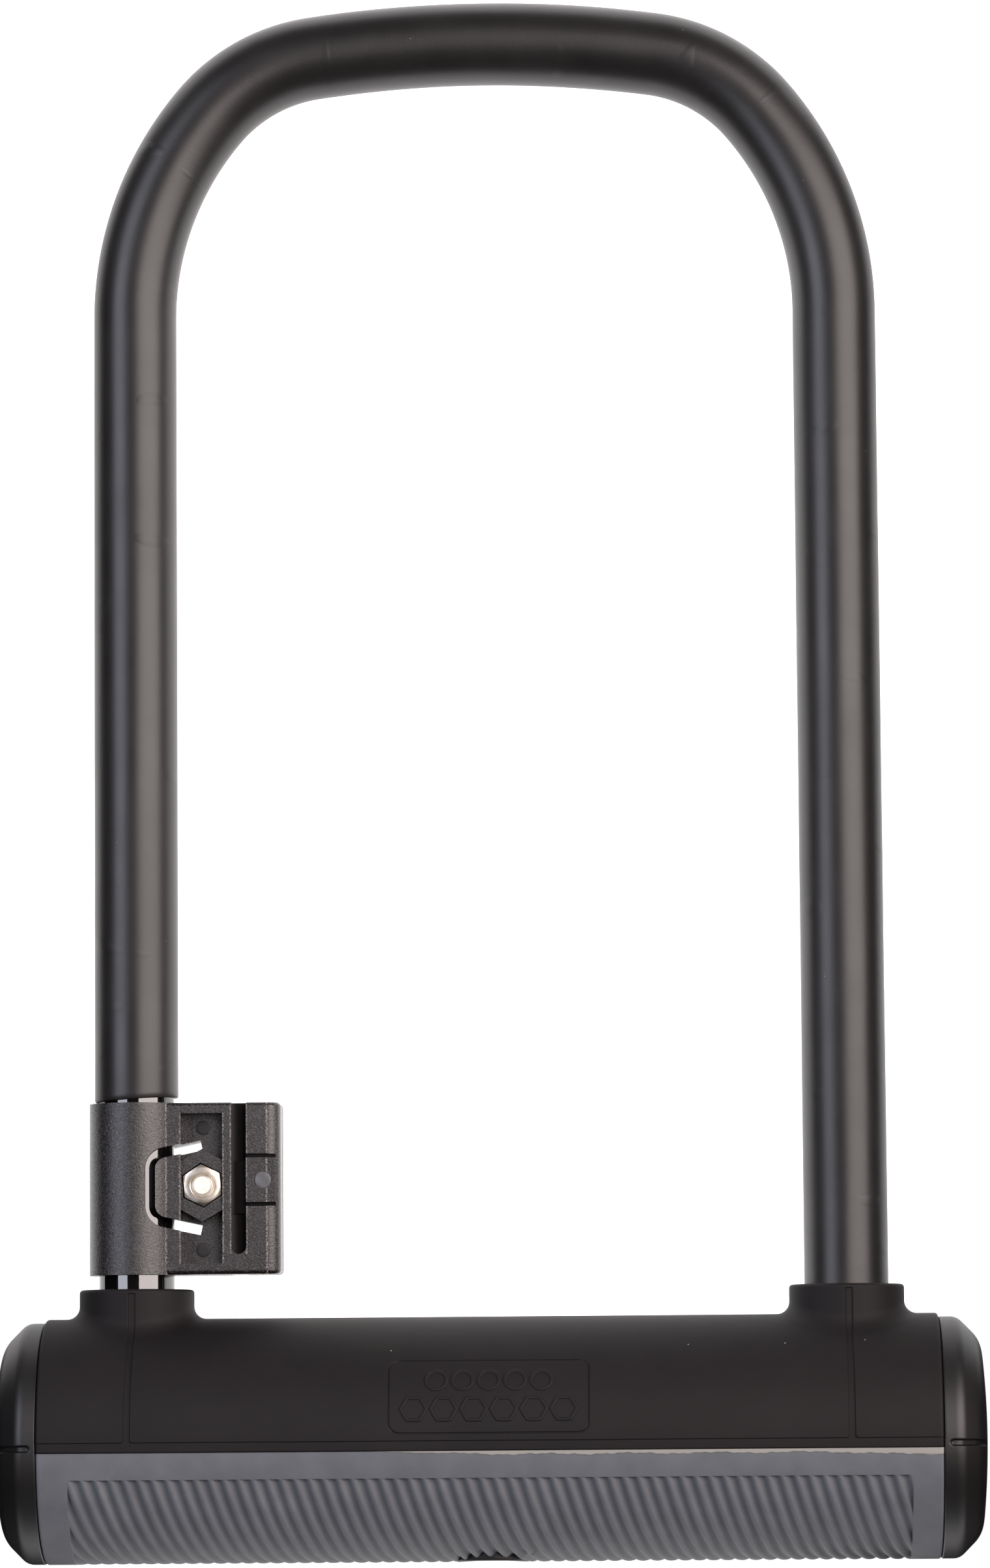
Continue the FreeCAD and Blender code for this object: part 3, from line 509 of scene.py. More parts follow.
def bowLine(stations, start):
    # Each station adds up how much of every run and bend lies before it: a run goes straight on,
    # and a bend of radius r that has turned by a goes r sin a on and r (1 - cos a) to the right.
    top = (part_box("shackle_bar")[1].y - axis.y) / mm - (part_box("shackle_bar")[1].z - axis.z) / mm
    turn = math.radians(sleeve["shoulderTurn"])
    shoulder, corner, crown = sleeve["shoulder"], sleeve["corner"], sleeve["crown"]
    cornerX = legLine - shoulder + (shoulder - corner) * math.cos(turn)
    crownHalf = math.asin(cornerX / (crown - corner))
    cornerY = top - crown + (crown - corner) * math.cos(crownHalf)
    legTop = cornerY - (shoulder - corner) * math.sin(turn)
    cornerTurn = math.pi / 2 - turn - crownHalf
    bends = [(0, legTop - start), (shoulder, turn), (corner, cornerTurn), (crown, 2 * crownHalf),
             (corner, cornerTurn), (shoulder, turn), (0, legTop - start)]
    x = np.full_like(stations, -legLine)
    y = np.full_like(stations, float(start))
    heading = np.full_like(stations, math.pi / 2)
    facing = math.pi / 2
    done = 0.0
    for radius, amount in bends:
        length = radius * amount if radius else amount
        part = np.clip(stations - done, 0, length)
        angle = part / radius if radius else 0 * part
        onward = radius * np.sin(angle) if radius else part
        aside = radius * (1 - np.cos(angle)) if radius else 0 * part
        x = x + onward * math.cos(facing) + aside * math.sin(facing)
        y = y + onward * math.sin(facing) - aside * math.cos(facing)
        heading = heading - angle
        facing = facing - (amount if radius else 0)
        done = done + length
    return x, y, heading, done


def buildSleeve():
    # Rows run along the skin from the left end to the right end, over a small lip, back inside and
    # over the other lip. A point is the bar's centreline plus the radius times (cos v across, sin v up).
    outer = (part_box("shackle_sleeve")[1].z - axis.z) / mm
    inner = outer - sleeve["wall"]
    leftEnd = (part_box("bracket_front")[1].y - axis.y) / mm + sleeve["endGap"]
    rightEnd = (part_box("shackle_sleeve")[0].y - axis.y) / mm
    whole = bowLine(np.zeros(1), rightEnd)[3]
    first = leftEnd - rightEnd
    lip, back = sleeve["lip"], sleeve["innerStations"]
    t = np.concatenate([[0.0], np.linspace(0.0004, 0.9996, sleeve["stations"]), [1.0, 1.0],
                        np.linspace(1.0, 0.0, back), [0.0]])
    radius = np.concatenate([[outer - lip], np.full(sleeve["stations"], outer), [outer - lip, inner],
                             np.full(back, inner), [outer - lip]])
    v = np.linspace(0, 2 * math.pi, sleeve["round"] + 1)
    begin = first + sleeve["cutRise"] * (1 + np.cos(v)) / 2
    stations = begin[None, :] + t[:, None] * (whole - begin[None, :])
    x, y, heading, whole = bowLine(stations, rightEnd)
    uneven = sleeve["sag"] * np.sin(stations / 17.0 + 1.3) * np.sin(stations / 41.0 + 2 * v[None, :])
    r = radius[:, None] - np.where(radius[:, None] > outer - 0.01, np.abs(uneven), 0)
    across = r * np.cos(v)[None, :]
    points = np.stack([x + across * np.sin(heading), y - across * np.cos(heading),
                       r * np.sin(v)[None, :] + 0 * x], axis=-1)
    flat = np.stack([stations * mm, np.broadcast_to(v * outer * mm, stations.shape)], axis=-1)
    return addGrid("vinylSleeve", points, "vinyl", "shackle", "vinyl_sleeve", ["shackle_sleeve"],
                   flat=flat)


buildSleeve()
print("stage: vinyl sleeve")


# The upper cover: a half round shell with raised panels and two collars
cover = {
    "inner": 24.6,           # radius of the hidden inner wall
    "grooveWidth": 1.45,     # between the end panels and the middle panel, over each collar
    "grooveDepth": 0.32,
    "stripHeight": 2.15,     # plain strip along each split
    "panelCorner": 0.5,
    "panelEdge": 0.14,       # how wide the panels' small steps are
    "grooveStop": 1.0,       # below the top of the collar
    "endRound": 0.7,
    "splitRound": 0.25,
    "split": 2.0,            # below the axis
    "collar": 12.45,
    "bore": 9.5,
    "grooveShift": 0.15,     # the groove's middle lies this much outside the leg's line
    "fillet": 2.7,
    "rimRound": 0.75,
    "boreRound": 0.35,
    "patch": 16.2,           # half the side of the patch round a collar
}


# A thin framing line round an inset panel on the front of the cover
frameLine = {"middle": 9.9, "halfWide": 21.3, "halfTall": 8.4, "corner": 2.2, "width": 0.30, "depth": 0.22}


def lineDepth(x, a, radius):
    # depth of the framing line: a narrow trough where the distance to a rounded rectangle is near 0
    up = (math.pi / 2 - a - math.asin(frameLine["middle"] / radius)) * radius
    r = frameLine["corner"]
    beyondX = np.abs(x) - frameLine["halfWide"] + r
    beyondY = np.abs(up) - frameLine["halfTall"] + r
    outside = np.hypot(np.maximum(beyondX, 0), np.maximum(beyondY, 0)) - r
    outside = outside + np.minimum(np.maximum(beyondX, beyondY), 0)
    return frameLine["depth"] * smooth(1.4 - 2 * np.abs(outside) / frameLine["width"]) * (a > 0)


def panelDepth(x, arc, rise):
    # How far a point is sunk: panels are full height, and between them lie the grooves over the
    # collars (beside the leg's line) and the strip along the split (arc is measured from the split).
    sideways = np.abs(np.abs(x) - legLine - cover["grooveShift"]) - cover["grooveWidth"] / 2
    upwards = arc - cover["stripHeight"]
    r = cover["panelCorner"]
    rounded = r - np.hypot(np.minimum(sideways - r, 0), np.minimum(upwards - r, 0))
    inside = np.where((sideways < r) & (upwards < r), rounded, np.minimum(sideways, upwards))
    inside = np.maximum(inside, rise)
    return cover["grooveDepth"] * (1 - smooth(inside / cover["panelEdge"] + 0.5))


def edgeRound(distance, radius):
    # how far a rounded edge has dropped, at a distance in from the edge
    near = np.clip(radius - distance, 0, radius)
    return radius - np.sqrt(radius ** 2 - near ** 2)


def ringColumns(xs, zs, centre, half):
    # The square patch's border as a loop, and each border point's angle round the collar, from the
    # front. Near the groove the angle's sine is the offset over the collar's foot, so columns run
    # along the groove; further out the angle eases to 45 degrees at the corner.
    u = (xs - centre) / half
    foot = cover["collar"] + cover["fillet"]
    ease = half / foot * u - (half / foot - math.pi / 4) * u ** 3
    v = zs / zs.max() * math.pi / 4
    across, along = len(xs) - 1, len(zs)
    x = np.concatenate([xs[:-1], np.full(along - 1, xs[-1]), xs[::-1][:-1], np.full(along, xs[0])])
    arcs = np.concatenate([np.full(across, zs.max()), zs[::-1][:-1], np.full(across, zs.min()), zs])
    angle = np.concatenate([ease[:-1], math.pi / 2 - v[::-1][:-1], math.pi - ease[::-1][:-1],
                            1.5 * math.pi + v])
    return x, arcs, angle


def gridNormals(points):
    # across two neighbours each way; the columns go round, so their ends meet
    along = np.gradient(points, axis=0)
    ring = points[:, :-1]
    aside = np.roll(ring, -1, axis=1) - np.roll(ring, 1, axis=1)
    aside = np.concatenate([aside, aside[:, :1]], axis=1)
    normal = np.cross(along, aside)
    return normal / np.maximum(np.linalg.norm(normal, axis=-1, keepdims=True), 1e-12)


def buildCover():
    # Shell: x along the crossbar and the angle a from the top, as (x, r cos a, r sin a), where r is
    # the radius less the panel depth and the rounded edges. Collars: polar patches that start on the
    # border of a square left out of the shell, climb a fillet and the collar, and return down the bore.
    low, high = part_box("upper_cover")
    radius = (high.z - low.z) / 2 / mm
    half = high.x / mm
    top = (high.y - axis.y) / mm
    bore = cover["bore"]
    patch = cover["patch"]
    groove = legLine + cover["grooveShift"]
    nearEdge, farEdge = groove - cover["grooveWidth"] / 2, groove + cover["grooveWidth"] / 2
    wide, bend = frameLine["halfWide"], frameLine["corner"]
    side = places((0, wide - bend - 0.4, 6), (wide - bend, wide - 0.35, 9), (wide - 0.27, wide + 0.27, 9),
                  (wide + 0.6, legLine - patch, 12), (legLine - patch, legLine + patch, 21),
                  (nearEdge - 0.8, nearEdge - 0.2, 5), (nearEdge - 0.15, nearEdge + 0.15, 9),
                  (nearEdge + 0.3, farEdge - 0.3, 3),
                  (farEdge - 0.15, farEdge + 0.15, 9), (farEdge + 0.2, farEdge + 0.8, 5),
                  (legLine + patch, half - 1, 3), (half - cover["endRound"], half, 7))
    xs = np.concatenate([-side[::-1][:-1], side])
    last = math.degrees(math.pi / 2 + math.asin(cover["split"] / radius))
    hold = math.degrees(math.asin(patch / radius))
    step = math.degrees(1 / radius)          # degrees per mm of arc
    strip = cover["stripHeight"]
    turn = places((0, hold, 12), (hold, last - 4 * step, 18),
                  (last - (strip + 0.9) * step, last - (strip + 0.2) * step, 5),
                  (last - (strip + 0.15) * step, last - (strip - 0.15) * step, 9),
                  (last - (strip - 0.3) * step, last - 0.3 * step, 4), (last - 0.25 * step, last, 4))
    up = 90 - math.degrees(math.asin(frameLine["middle"] / radius))
    tall = frameLine["halfTall"] * step
    bend = bend * step
    start, stop, spread = up - tall, up + tall, 0.27 * step
    lines = places((start - spread, start + spread, 9), (start + 0.4 * step, start + bend, 8),
                   (stop - bend, stop - 0.4 * step, 8), (stop - spread, stop + spread, 9))
    front = turn[(turn <= hold + 0.001) | (np.min(np.abs(turn[:, None] - lines[None, :]), axis=1) > 0.08)]
    front = np.unique(np.round(np.concatenate([front, lines[lines > hold + 0.2]]), 4))
    angles = np.radians(np.concatenate([-turn[::-1][:-1], front]))
    x, a = np.meshgrid(xs, angles, indexing="ij")
    arc = (math.radians(last) - np.abs(a)) * radius
    depth = panelDepth(x, arc, -9.0 + 0 * x) + edgeRound(half - np.abs(x), cover["endRound"])
    depth = depth + edgeRound(arc, cover["splitRound"]) + lineDepth(x, a, radius)
    r = radius - depth
    outer = np.stack([x, r * np.cos(a), r * np.sin(a)], axis=-1)
    inner = np.stack([x, cover["inner"] * np.cos(a), cover["inner"] * np.sin(a)], axis=-1)
    rows, columns = x.shape
    faces = gridFaces(rows, columns)
    cellX = np.abs((xs[:-1] + xs[1:]) / 2)
    cellA = np.abs((angles[:-1] + angles[1:]) / 2)
    hole = (np.abs(cellX - legLine) < patch)[:, None] & (cellA < math.radians(hold))[None, :]
    faces = faces[~hole.ravel()]
    count = rows * columns
    index = np.arange(count).reshape(rows, columns)
    allFaces = [faces, faces[:, ::-1] + count]
    for line in (index[0], index[-1], index[:, 0], index[:, -1]):
        allFaces.append(np.stack([line[:-1], line[1:], line[1:] + count, line[:-1] + count], axis=1))
    allPoints = [outer.reshape(-1, 3), inner.reshape(-1, 3)]
    total = 2 * count
    for sign in (-1, 1):
        centre = sign * legLine
        inSquare = np.abs(xs - centre) <= patch + 0.001
        inTurn = np.abs(angles) <= math.radians(hold) + 1e-6
        borderX, borderA, psi = ringColumns(xs[inSquare], angles[inTurn], centre, patch)
        points = collarRows(borderX, borderA, psi, centre, radius, top, bore)
        rowsHere, columnsHere = points.shape[:2]
        shown = rowsHere - 12
        rise = points[..., 1] - (top - cover["grooveStop"])
        a2 = np.arctan2(np.abs(points[..., 2]), points[..., 1])
        arc2 = (math.radians(last) - a2) * radius
        sunk = panelDepth(points[..., 0], arc2, rise)
        sunk[shown:] = 0
        normal = gridNormals(points)
        shellNormal = np.stack([0 * psi, np.cos(borderA), np.sin(borderA)], axis=-1)
        outward = np.sign(np.sum(normal[2] * shellNormal))
        points = points - outward * normal * sunk[..., None]
        firstRow = np.searchsorted(xs, borderX - 0.00001)
        firstColumn = np.searchsorted(angles, borderA - 0.0000001)
        points[0] = outer[firstRow, firstColumn]
        points[-1] = inner[firstRow, firstColumn]
        allPoints.append(points.reshape(-1, 3))
        allFaces.append(gridFaces(rowsHere, columnsHere) + total)
        total = total + rowsHere * columnsHere
    return addPiece("coverShell", np.concatenate(allPoints), np.concatenate(allFaces), "cover", "crossbar",
                    "cover_black", ["upper_cover"], sharp=50)


def collarRows(borderX, borderA, psi, centre, radius, top, bore):
    # Each row is a ring at a distance rho from the leg's axis. Its height is the cylinder's own,
    # root of (radius squared less z squared), plus the fillet; higher rows are at fixed heights.
    wall, fillet, rim, lip = cover["collar"], cover["fillet"], cover["rimRound"], cover["boreRound"]
    sine, cosine = np.sin(psi), np.cos(psi)
    rows = []

    def ring(rho, height, onShell):
        z = rho * cosine
        base = np.sqrt(radius ** 2 - z ** 2) if onShell else 0
        rows.append(np.stack([centre + rho * sine, height + base + 0 * z, z], axis=-1))

    borderZ = radius * np.sin(borderA)
    foot = wall + fillet
    for t in np.linspace(0, 1, 6)[:-1]:
        px = borderX * (1 - t) + (centre + foot * sine) * t
        pz = borderZ * (1 - t) + foot * cosine * t
        rows.append(np.stack([px, np.sqrt(radius ** 2 - pz ** 2), pz], axis=-1))
    for t in np.radians(np.linspace(0, 90, 13)):
        ring(foot - fillet * math.sin(t), fillet * (1 - math.cos(t)), True)
    start = np.sqrt(radius ** 2 - (wall * cosine) ** 2) + fillet
    climb = np.concatenate([np.linspace(0, 1, 8)[1:-1] * (1 - 1.6 / 5), np.linspace(1 - 1.5 / 5, 1, 13)])
    for t in climb:
        height = start + (top - rim - start) * t
        rows.append(np.stack([centre + wall * sine, height, wall * cosine], axis=-1))
    for t in np.radians(np.linspace(15, 90, 6)):
        ring(wall - rim * (1 - math.cos(t)), top - rim + rim * math.sin(t), False)
    ring(bore + lip, top, False)
    for t in np.radians(np.linspace(30, 90, 3)):
        ring(bore + lip * (1 - math.sin(t)), top - lip * (1 - math.cos(t)), False)
    for t in (0.3, 0.6):
        ring(bore, top - (top - cover["inner"]) * t, False)
    inside = cover["inner"]
    for t in (0.0, 0.25, 0.5, 0.75, 1.0):
        px = (centre + bore * sine) * (1 - t) + borderX * t
        pz = bore * cosine * (1 - t) + inside * np.sin(borderA) * t
        rows.append(np.stack([px, np.sqrt(inside ** 2 - pz ** 2), pz], axis=-1))
    return np.stack(rows)


buildCover()
print("stage: cover and collars")


# The lower grip: slanted round-bottomed valleys between a plain band, two end walls and the keyway
grip = {
    "inner": 24.2,
    "split": 2.05,           # below the axis
    "pitch": 3.04,
    "slant": 0.30,           # mm along the crossbar for each mm round it
    "valley": 0.43,          # half the valley's width, as a share of the pitch
    "depth": 0.95,
    "band": 5.85,            # arc from the split to the ends of the valleys
    "zoneHalf": 90.0,
    "wallWidth": 0.22,
    "firstValley": 0.55,
    "endRound": 0.6,
    "splitRound": 0.15,
    "opening": 8.15,         # round the keyway ring
    "patch": 9.6,
    "flashWidth": 0.80,
    "flashHeight": 0.14,
}


def valleyDepth(x, arc, whole):
    # A cosine valley across the slant, repeated at the pitch, that stops at the bands and end walls
    phase = np.mod((x - grip["slant"] * (arc - grip["band"])) / grip["pitch"] + grip["firstValley"], 1)
    across = np.clip(np.abs(phase - 0.5) / grip["valley"], 0, 1)
    shape = (0.5 + 0.5 * np.cos(math.pi * across)) ** 0.8
    inside = np.minimum(np.minimum(arc, whole - arc) - grip["band"], grip["zoneHalf"] - np.abs(x))
    return grip["depth"] * shape * smooth(inside / grip["wallWidth"])


def flashEdge(x, arc, seed):
    # the torn film of rubber along the split: its width wanders, and it grows from left to right
    grow = smooth((x + 32) / 40)
    ragged = 0.5 * np.sin(x / 2.9 + seed) + 0.3 * np.sin(x / 0.83 + 2 * seed) + 0.25 * np.sin(x / 0.37)
    width = grip["flashWidth"] * grow * (1 + 0.34 * ragged) + 0.5 * smooth((x - 72) / 14) * grow
    return smooth((width - arc) / 0.12 + 0.5) * smooth(grow * 4)


def buildGrip():
    # (x, -r sin a, r cos a) with the angle a from the front, and r the radius less the valleys and
    # rounded edges plus the torn film. A polar patch round the keyway ends in a round opening.
    low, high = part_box("lower_grip")
    radius = (axis.y - low.y) / mm
    half = high.x / mm
    begin = math.asin(grip["split"] / radius)
    whole = (math.pi - 2 * begin) * radius
    zone = grip["zoneHalf"]
    patch = grip["patch"]
    xs = places((-patch, patch, 61), (patch, zone - 0.4, 262), (zone - 0.3, zone + 0.1, 5),
                (zone + 0.3, half - 1, 4), (half - grip["endRound"], half, 6))
    xs = np.unique(np.round(np.concatenate([-xs, xs]), 4))
    band = grip["band"]
    middleArc = whole / 2
    hold = math.asin(patch / radius) * radius
    arcs = places((0, 0.2, 3), (0.3, 1.7, 13), (1.8, band - 0.3, 4), (band - 0.1, band + 0.35, 6),
                  (band + 0.6, middleArc - hold, 24), (middleArc - hold, middleArc, 12))
    arcs = np.unique(np.round(np.concatenate([arcs, whole - arcs]), 4))
    x, arc = np.meshgrid(xs, arcs, indexing="ij")
    a = begin + arc / radius
    flash = flashEdge(x, arc, 0.7)
    r = radius - valleyDepth(x, arc, whole)
    r = r - edgeRound(half - np.abs(x), grip["endRound"])
    r = r - edgeRound(np.minimum(arc, whole - arc), grip["splitRound"]) * (1 - flash)
    r = r + grip["flashHeight"] * flash
    outer = np.stack([x, -r * np.sin(a), r * np.cos(a)], axis=-1)
    rows, columns = x.shape
    faces = gridFaces(rows, columns)
    cellX = np.abs((xs[:-1] + xs[1:]) / 2)
    cellArc = np.abs((arcs[:-1] + arcs[1:]) / 2 - middleArc)
    hole = (cellX < patch)[:, None] & (cellArc < hold)[None, :]
    faces = faces[~hole.ravel()]
    count = rows * columns
    index = np.arange(count).reshape(rows, columns)
    wallColumns = 12
    pick = np.linspace(0, columns - 1, wallColumns).round().astype(int)
    inner = outer[:, pick].copy()
    angleIn = a[:, pick]
    inner[..., 1] = -grip["inner"] * np.sin(angleIn)
    inner[..., 2] = grip["inner"] * np.cos(angleIn)
    innerIndex = np.arange(rows * wallColumns).reshape(rows, wallColumns) + count
    allFaces = [faces, gridFaces(rows, wallColumns)[:, ::-1] + count]
    for line, wall in ((index[:, 0], innerIndex[:, 0]), (index[:, -1], innerIndex[:, -1])):
        allFaces.append(np.stack([line[:-1], line[1:], wall[1:], wall[:-1]], axis=1))
    allPoints = [outer.reshape(-1, 3), inner.reshape(-1, 3)]
    marks = [flash.ravel(), np.zeros(rows * wallColumns)]
    total = count + rows * wallColumns
    for row in (0, rows - 1):
        ends = outer[row]
        deep = ends.copy()
        deep[:, 1] = -grip["inner"] * np.sin(a[row])
        deep[:, 2] = grip["inner"] * np.cos(a[row])
        allPoints.append(np.concatenate([ends, deep]))
        allFaces.append(gridFaces(2, columns) + total)
        marks.append(np.zeros(2 * columns))
        total = total + 2 * columns
    inSquare = np.abs(xs) <= patch + 0.001
    inHold = np.abs(arcs - middleArc) <= hold + 0.001
    turn = (arcs[inHold] - middleArc) / radius
    borderX, borderT = ringColumns(xs[inSquare], turn, 0, patch)[:2]
    borderZ = -radius * np.sin(borderT)
    psi = np.arctan2(borderX, borderZ)
    ringRows = []
    opening = grip["opening"]
    for t, drop in ((0, 0), (0.2, 0), (0.4, 0), (0.6, 0), (0.8, 0), (0.92, 0), (1, 0.08), (1, 0.35),
                    (1, 3.0), (1.35, 3.0)):
        px = borderX * (1 - t) + opening * np.sin(psi) * t
        pz = borderZ * (1 - t) + opening * np.cos(psi) * t
        spotArc = middleArc - np.arcsin(pz / radius) * radius
        depth = valleyDepth(px, spotArc, whole)
        reach = radius - depth - drop
        away = np.sqrt(np.maximum(reach ** 2 - pz ** 2, 0))
        ringRows.append(np.stack([px, -away, pz], axis=-1))
    ringRows = np.stack(ringRows)
    firstRow = np.searchsorted(xs, borderX - 0.00005)
    firstColumn = np.searchsorted(arcs, borderT * radius + middleArc - 0.00005)
    ringRows[0] = outer[np.clip(firstRow, 0, rows - 1), np.clip(firstColumn, 0, columns - 1)]
    allPoints.append(ringRows.reshape(-1, 3))
    allFaces.append(gridFaces(*ringRows.shape[:2]) + total)
    marks.append(np.zeros(ringRows.shape[0] * ringRows.shape[1]))
    return addPiece("ribbedGrip", np.concatenate(allPoints), np.concatenate(allFaces), "rubber", "crossbar",
                    "grip_rubber", ["lower_grip"], marks={"flash": np.concatenate(marks)}, sharp=60)


buildGrip()
print("stage: ribbed grip")


# End caps: turned outlines with softened corners, and a slot across the split on both sides
cap = {
    "seamRound": 0.35,
    "seamGap": 0.1,
    "wallEnd": 100.5,
    "faceStart": 105.45,
    "faceRadius": 21.0,
    "wallTrim": 1.4,
    "faceTrim": 2.4,
    "inner": 22.6,
    "slotLine": -1.05,       # the slot's middle, above the axis
    "slotHalf": 0.72,
    "slotDepth": 0.85,
    "slotGap": 1.5,          # from the seam to the slot's round end
    "slotReach": 10.5,       # how near the cap's middle the slot ends
}


def buildCap(side, name, node):
    # An outline of (x, radius) turned about the axis: wall, bend, slope, bend and dome, the bends as
    # quadratic curves. The slot sinks points near its line, along the surface's normal.
    low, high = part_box("end_cap_right")
    radius = (high.y - low.y) / 2 / mm
    tip = high.x / mm
    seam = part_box("upper_cover")[1].x / mm + cap["seamGap"]
    wallEnd = np.array([cap["wallEnd"], radius])
    face = np.array([cap["faceStart"], cap["faceRadius"]])
    slope = (face - wallEnd) / np.linalg.norm(face - wallEnd)
    domeSlope = np.array([2 * (tip - face[0]) / face[1], -1.0])
    domeSlope = domeSlope / np.linalg.norm(domeSlope)

    def bend(corner, before, after, trim, count):
        t = np.linspace(0, 1, count)[:, None]
        arriving = (1 - t) ** 2 * (corner - trim * before)
        return arriving + 2 * t * (1 - t) * corner + t ** 2 * (corner + trim * after)

    flatStep = np.array([1.0, 0.0])
    wallTrim, faceTrim = cap["wallTrim"], cap["faceTrim"]
    first = bend(wallEnd, flatStep, slope, wallTrim, 14)
    second = bend(face, slope, domeSlope, faceTrim, 14)
    down = np.concatenate([np.linspace(second[-1][1], 8, 14)[1:], np.linspace(8, 0, 7)[1:]])
    edgeX, edgeR = second[-1]
    dome = np.stack([tip - (tip - edgeX) * (down / edgeR) ** 2, down], axis=1)
    rim = np.radians(np.linspace(0, 90, 5))
    lip = cap["seamRound"]
    seamBend = np.stack([seam + lip - lip * np.cos(rim), radius - lip + lip * np.sin(rim)], axis=1)
    wall = np.stack([np.linspace(seam + lip, first[0][0], 12)[1:-1], np.full(10, radius)], axis=1)
    back = np.array([[seam, cap["inner"]], [tip - 2.6, cap["inner"] - 4.0], [tip - 2.6, 0.0]])
    shown = np.concatenate([seamBend, wall, first, second, dome])
    outline = np.concatenate([shown[::-1], back])
    turnSlot = np.concatenate([np.linspace(-8, 3, 56), np.linspace(6, 174, 57), np.linspace(177, 188, 56),
                               np.linspace(191, 349, 54), [352]])
    turn = np.radians(turnSlot)
    run = np.concatenate([[0], np.cumsum(np.linalg.norm(np.diff(outline, axis=0), axis=1))])
    steps = np.gradient(outline, axis=0)
    steps = steps / np.maximum(np.linalg.norm(steps, axis=1, keepdims=True), 1e-9)
    normalX, normalR = -steps[:, 1], steps[:, 0]
    sign = np.sign(normalR[len(shown) - 8])
    normalX, normalR = normalX * sign, normalR * sign
    r = outline[:, 1][:, None]
    height = r * np.sin(turn)[None, :]
    runEnd = run[len(shown) - 1] - cap["slotGap"] - cap["slotHalf"]
    startRun = run[np.argmin(np.abs(outline[:len(shown), 1] - cap["slotReach"]))]
    along = np.maximum(np.maximum(startRun - run, run - runEnd), 0)[:, None]
    away = np.hypot(height - cap["slotLine"], along)
    sunk = cap["slotDepth"] * smooth((cap["slotHalf"] - away) / 0.4 + 0.3)
    sunk[len(shown):] = 0
    x = outline[:, 0][:, None] - sunk * normalX[:, None]
    rr = np.maximum(r - sunk * normalR[:, None], 0)
    points = np.stack([side * x, rr * np.sin(turn)[None, :], rr * np.cos(turn)[None, :]], axis=-1)
    return addGrid(name, points, "cap", "crossbar", "cap_black", [node], sharp=60)


buildCap(-1, "endCapLeft", "end_cap_left")
buildCap(1, "endCapRight", "end_cap_right")
print("stage: end caps")


# Bracket halves and shutter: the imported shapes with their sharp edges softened
soft = {"bracket_front": 0.36, "bracket_rear": 0.36, "keyway_shutter": 0.15}


def softened(node, name, finish, body):
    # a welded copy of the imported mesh; flat regions become single faces so that bevels run cleanly
    mesh = nodes[node].data.copy()
    mesh.name = name
    work = bmesh.new()
    work.from_mesh(mesh)
    bmesh.ops.remove_doubles(work, verts=work.verts, dist=0.002 * mm)
    bmesh.ops.dissolve_limit(work, angle_limit=math.radians(1.0), verts=work.verts, edges=work.edges)
    work.to_mesh(mesh)
    work.free()
    if mesh.has_custom_normals:
        mesh.attributes.remove(mesh.attributes["custom_normal"])
    mesh.shade_smooth()
    mesh.set_sharp_from_angle(angle=math.radians(32))
    mesh.materials.clear()
    mesh.materials.append(finishes[finish])
    piece = bpy.data.objects.new(name, mesh)
    bpy.context.scene.collection.objects.link(piece)
    bevel = piece.modifiers.new("softEdges", "BEVEL")
    bevel.width = soft[node] * mm
    bevel.segments = 2
    bevel.limit_method = "ANGLE"
    bevel.angle_limit = math.radians(34)
    bevel.use_clamp_overlap = True
    bevel.harden_normals = False
    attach(piece, body)
    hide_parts(node)
    return piece


softened("bracket_front", "bracketFrontHalf", "nylon", "bracket")
softened("bracket_rear", "bracketRearHalf", "nylon", "bracket")
softened("keyway_shutter", "dustShutter", "acetal", "shutter")
print("stage: bracket and shutter")


# Clamp nut and screw
nut = {"flats": 8.0, "bore": 2.15, "crown": 3.86, "cone": 25.0, "turn": 34.0}
screw = {"thread": 2.5, "pitch": 0.8, "threadDepth": 0.42, "head": 4.3, "headHeight": 2.8, "socket": 3.0,
         "socketDepth": 1.7}


def hexRadius(angle, flats):
    # distance from the middle to a hexagon's side, in the direction of the angle
    return flats / 2 / np.cos(np.mod(angle, math.pi / 3) - math.pi / 6)


def stackedRings(rings, x, y, angle):
    # each ring is (radius, height), both at every angle round an upright axis through x and y
    return np.stack([np.stack([x + r * np.cos(angle), y + r * np.sin(angle), z], axis=-1)
                     for r, z in rings])


def buildNut():
    # Rings from the bore over the top face and its cone to the six sides and back below
    low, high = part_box("bracket_nut")
    centre = (low + high) / 2
    top = (high.z - axis.z) / mm
    bottom = (low.z - axis.z) / mm
    angle = np.linspace(0, 2 * math.pi, 97)
    corner = hexRadius(angle - math.radians(nut["turn"]), nut["flats"])
    crown = np.full_like(angle, nut["crown"])
    bore = np.full_like(angle, nut["bore"])
    slope = math.tan(math.radians(nut["cone"]))
    fall = (corner - crown) * slope
    flat = 0 * angle
    rings = [(bore, bottom + flat), (bore, top - 0.5 + flat), (bore + 0.45, top - 0.05 + flat),
             (bore + 0.55, top + flat), (crown - 0.08, top + flat), (crown + 0.02, top - 0.04 + flat),
             (corner - 0.05, top - fall + 0.02), (corner, top - fall - 0.06),
             (corner, bottom + fall + 0.06), (corner - 0.05, bottom + fall - 0.02),
             (crown, bottom + flat), (bore, bottom + flat)]
    points = stackedRings(rings, centre.x / mm, (centre.y - axis.y) / mm, angle)
    return addGrid("clampNut", points, "zinc", "bracket", "zinc_hardware", ["bracket_nut"], sharp=25)


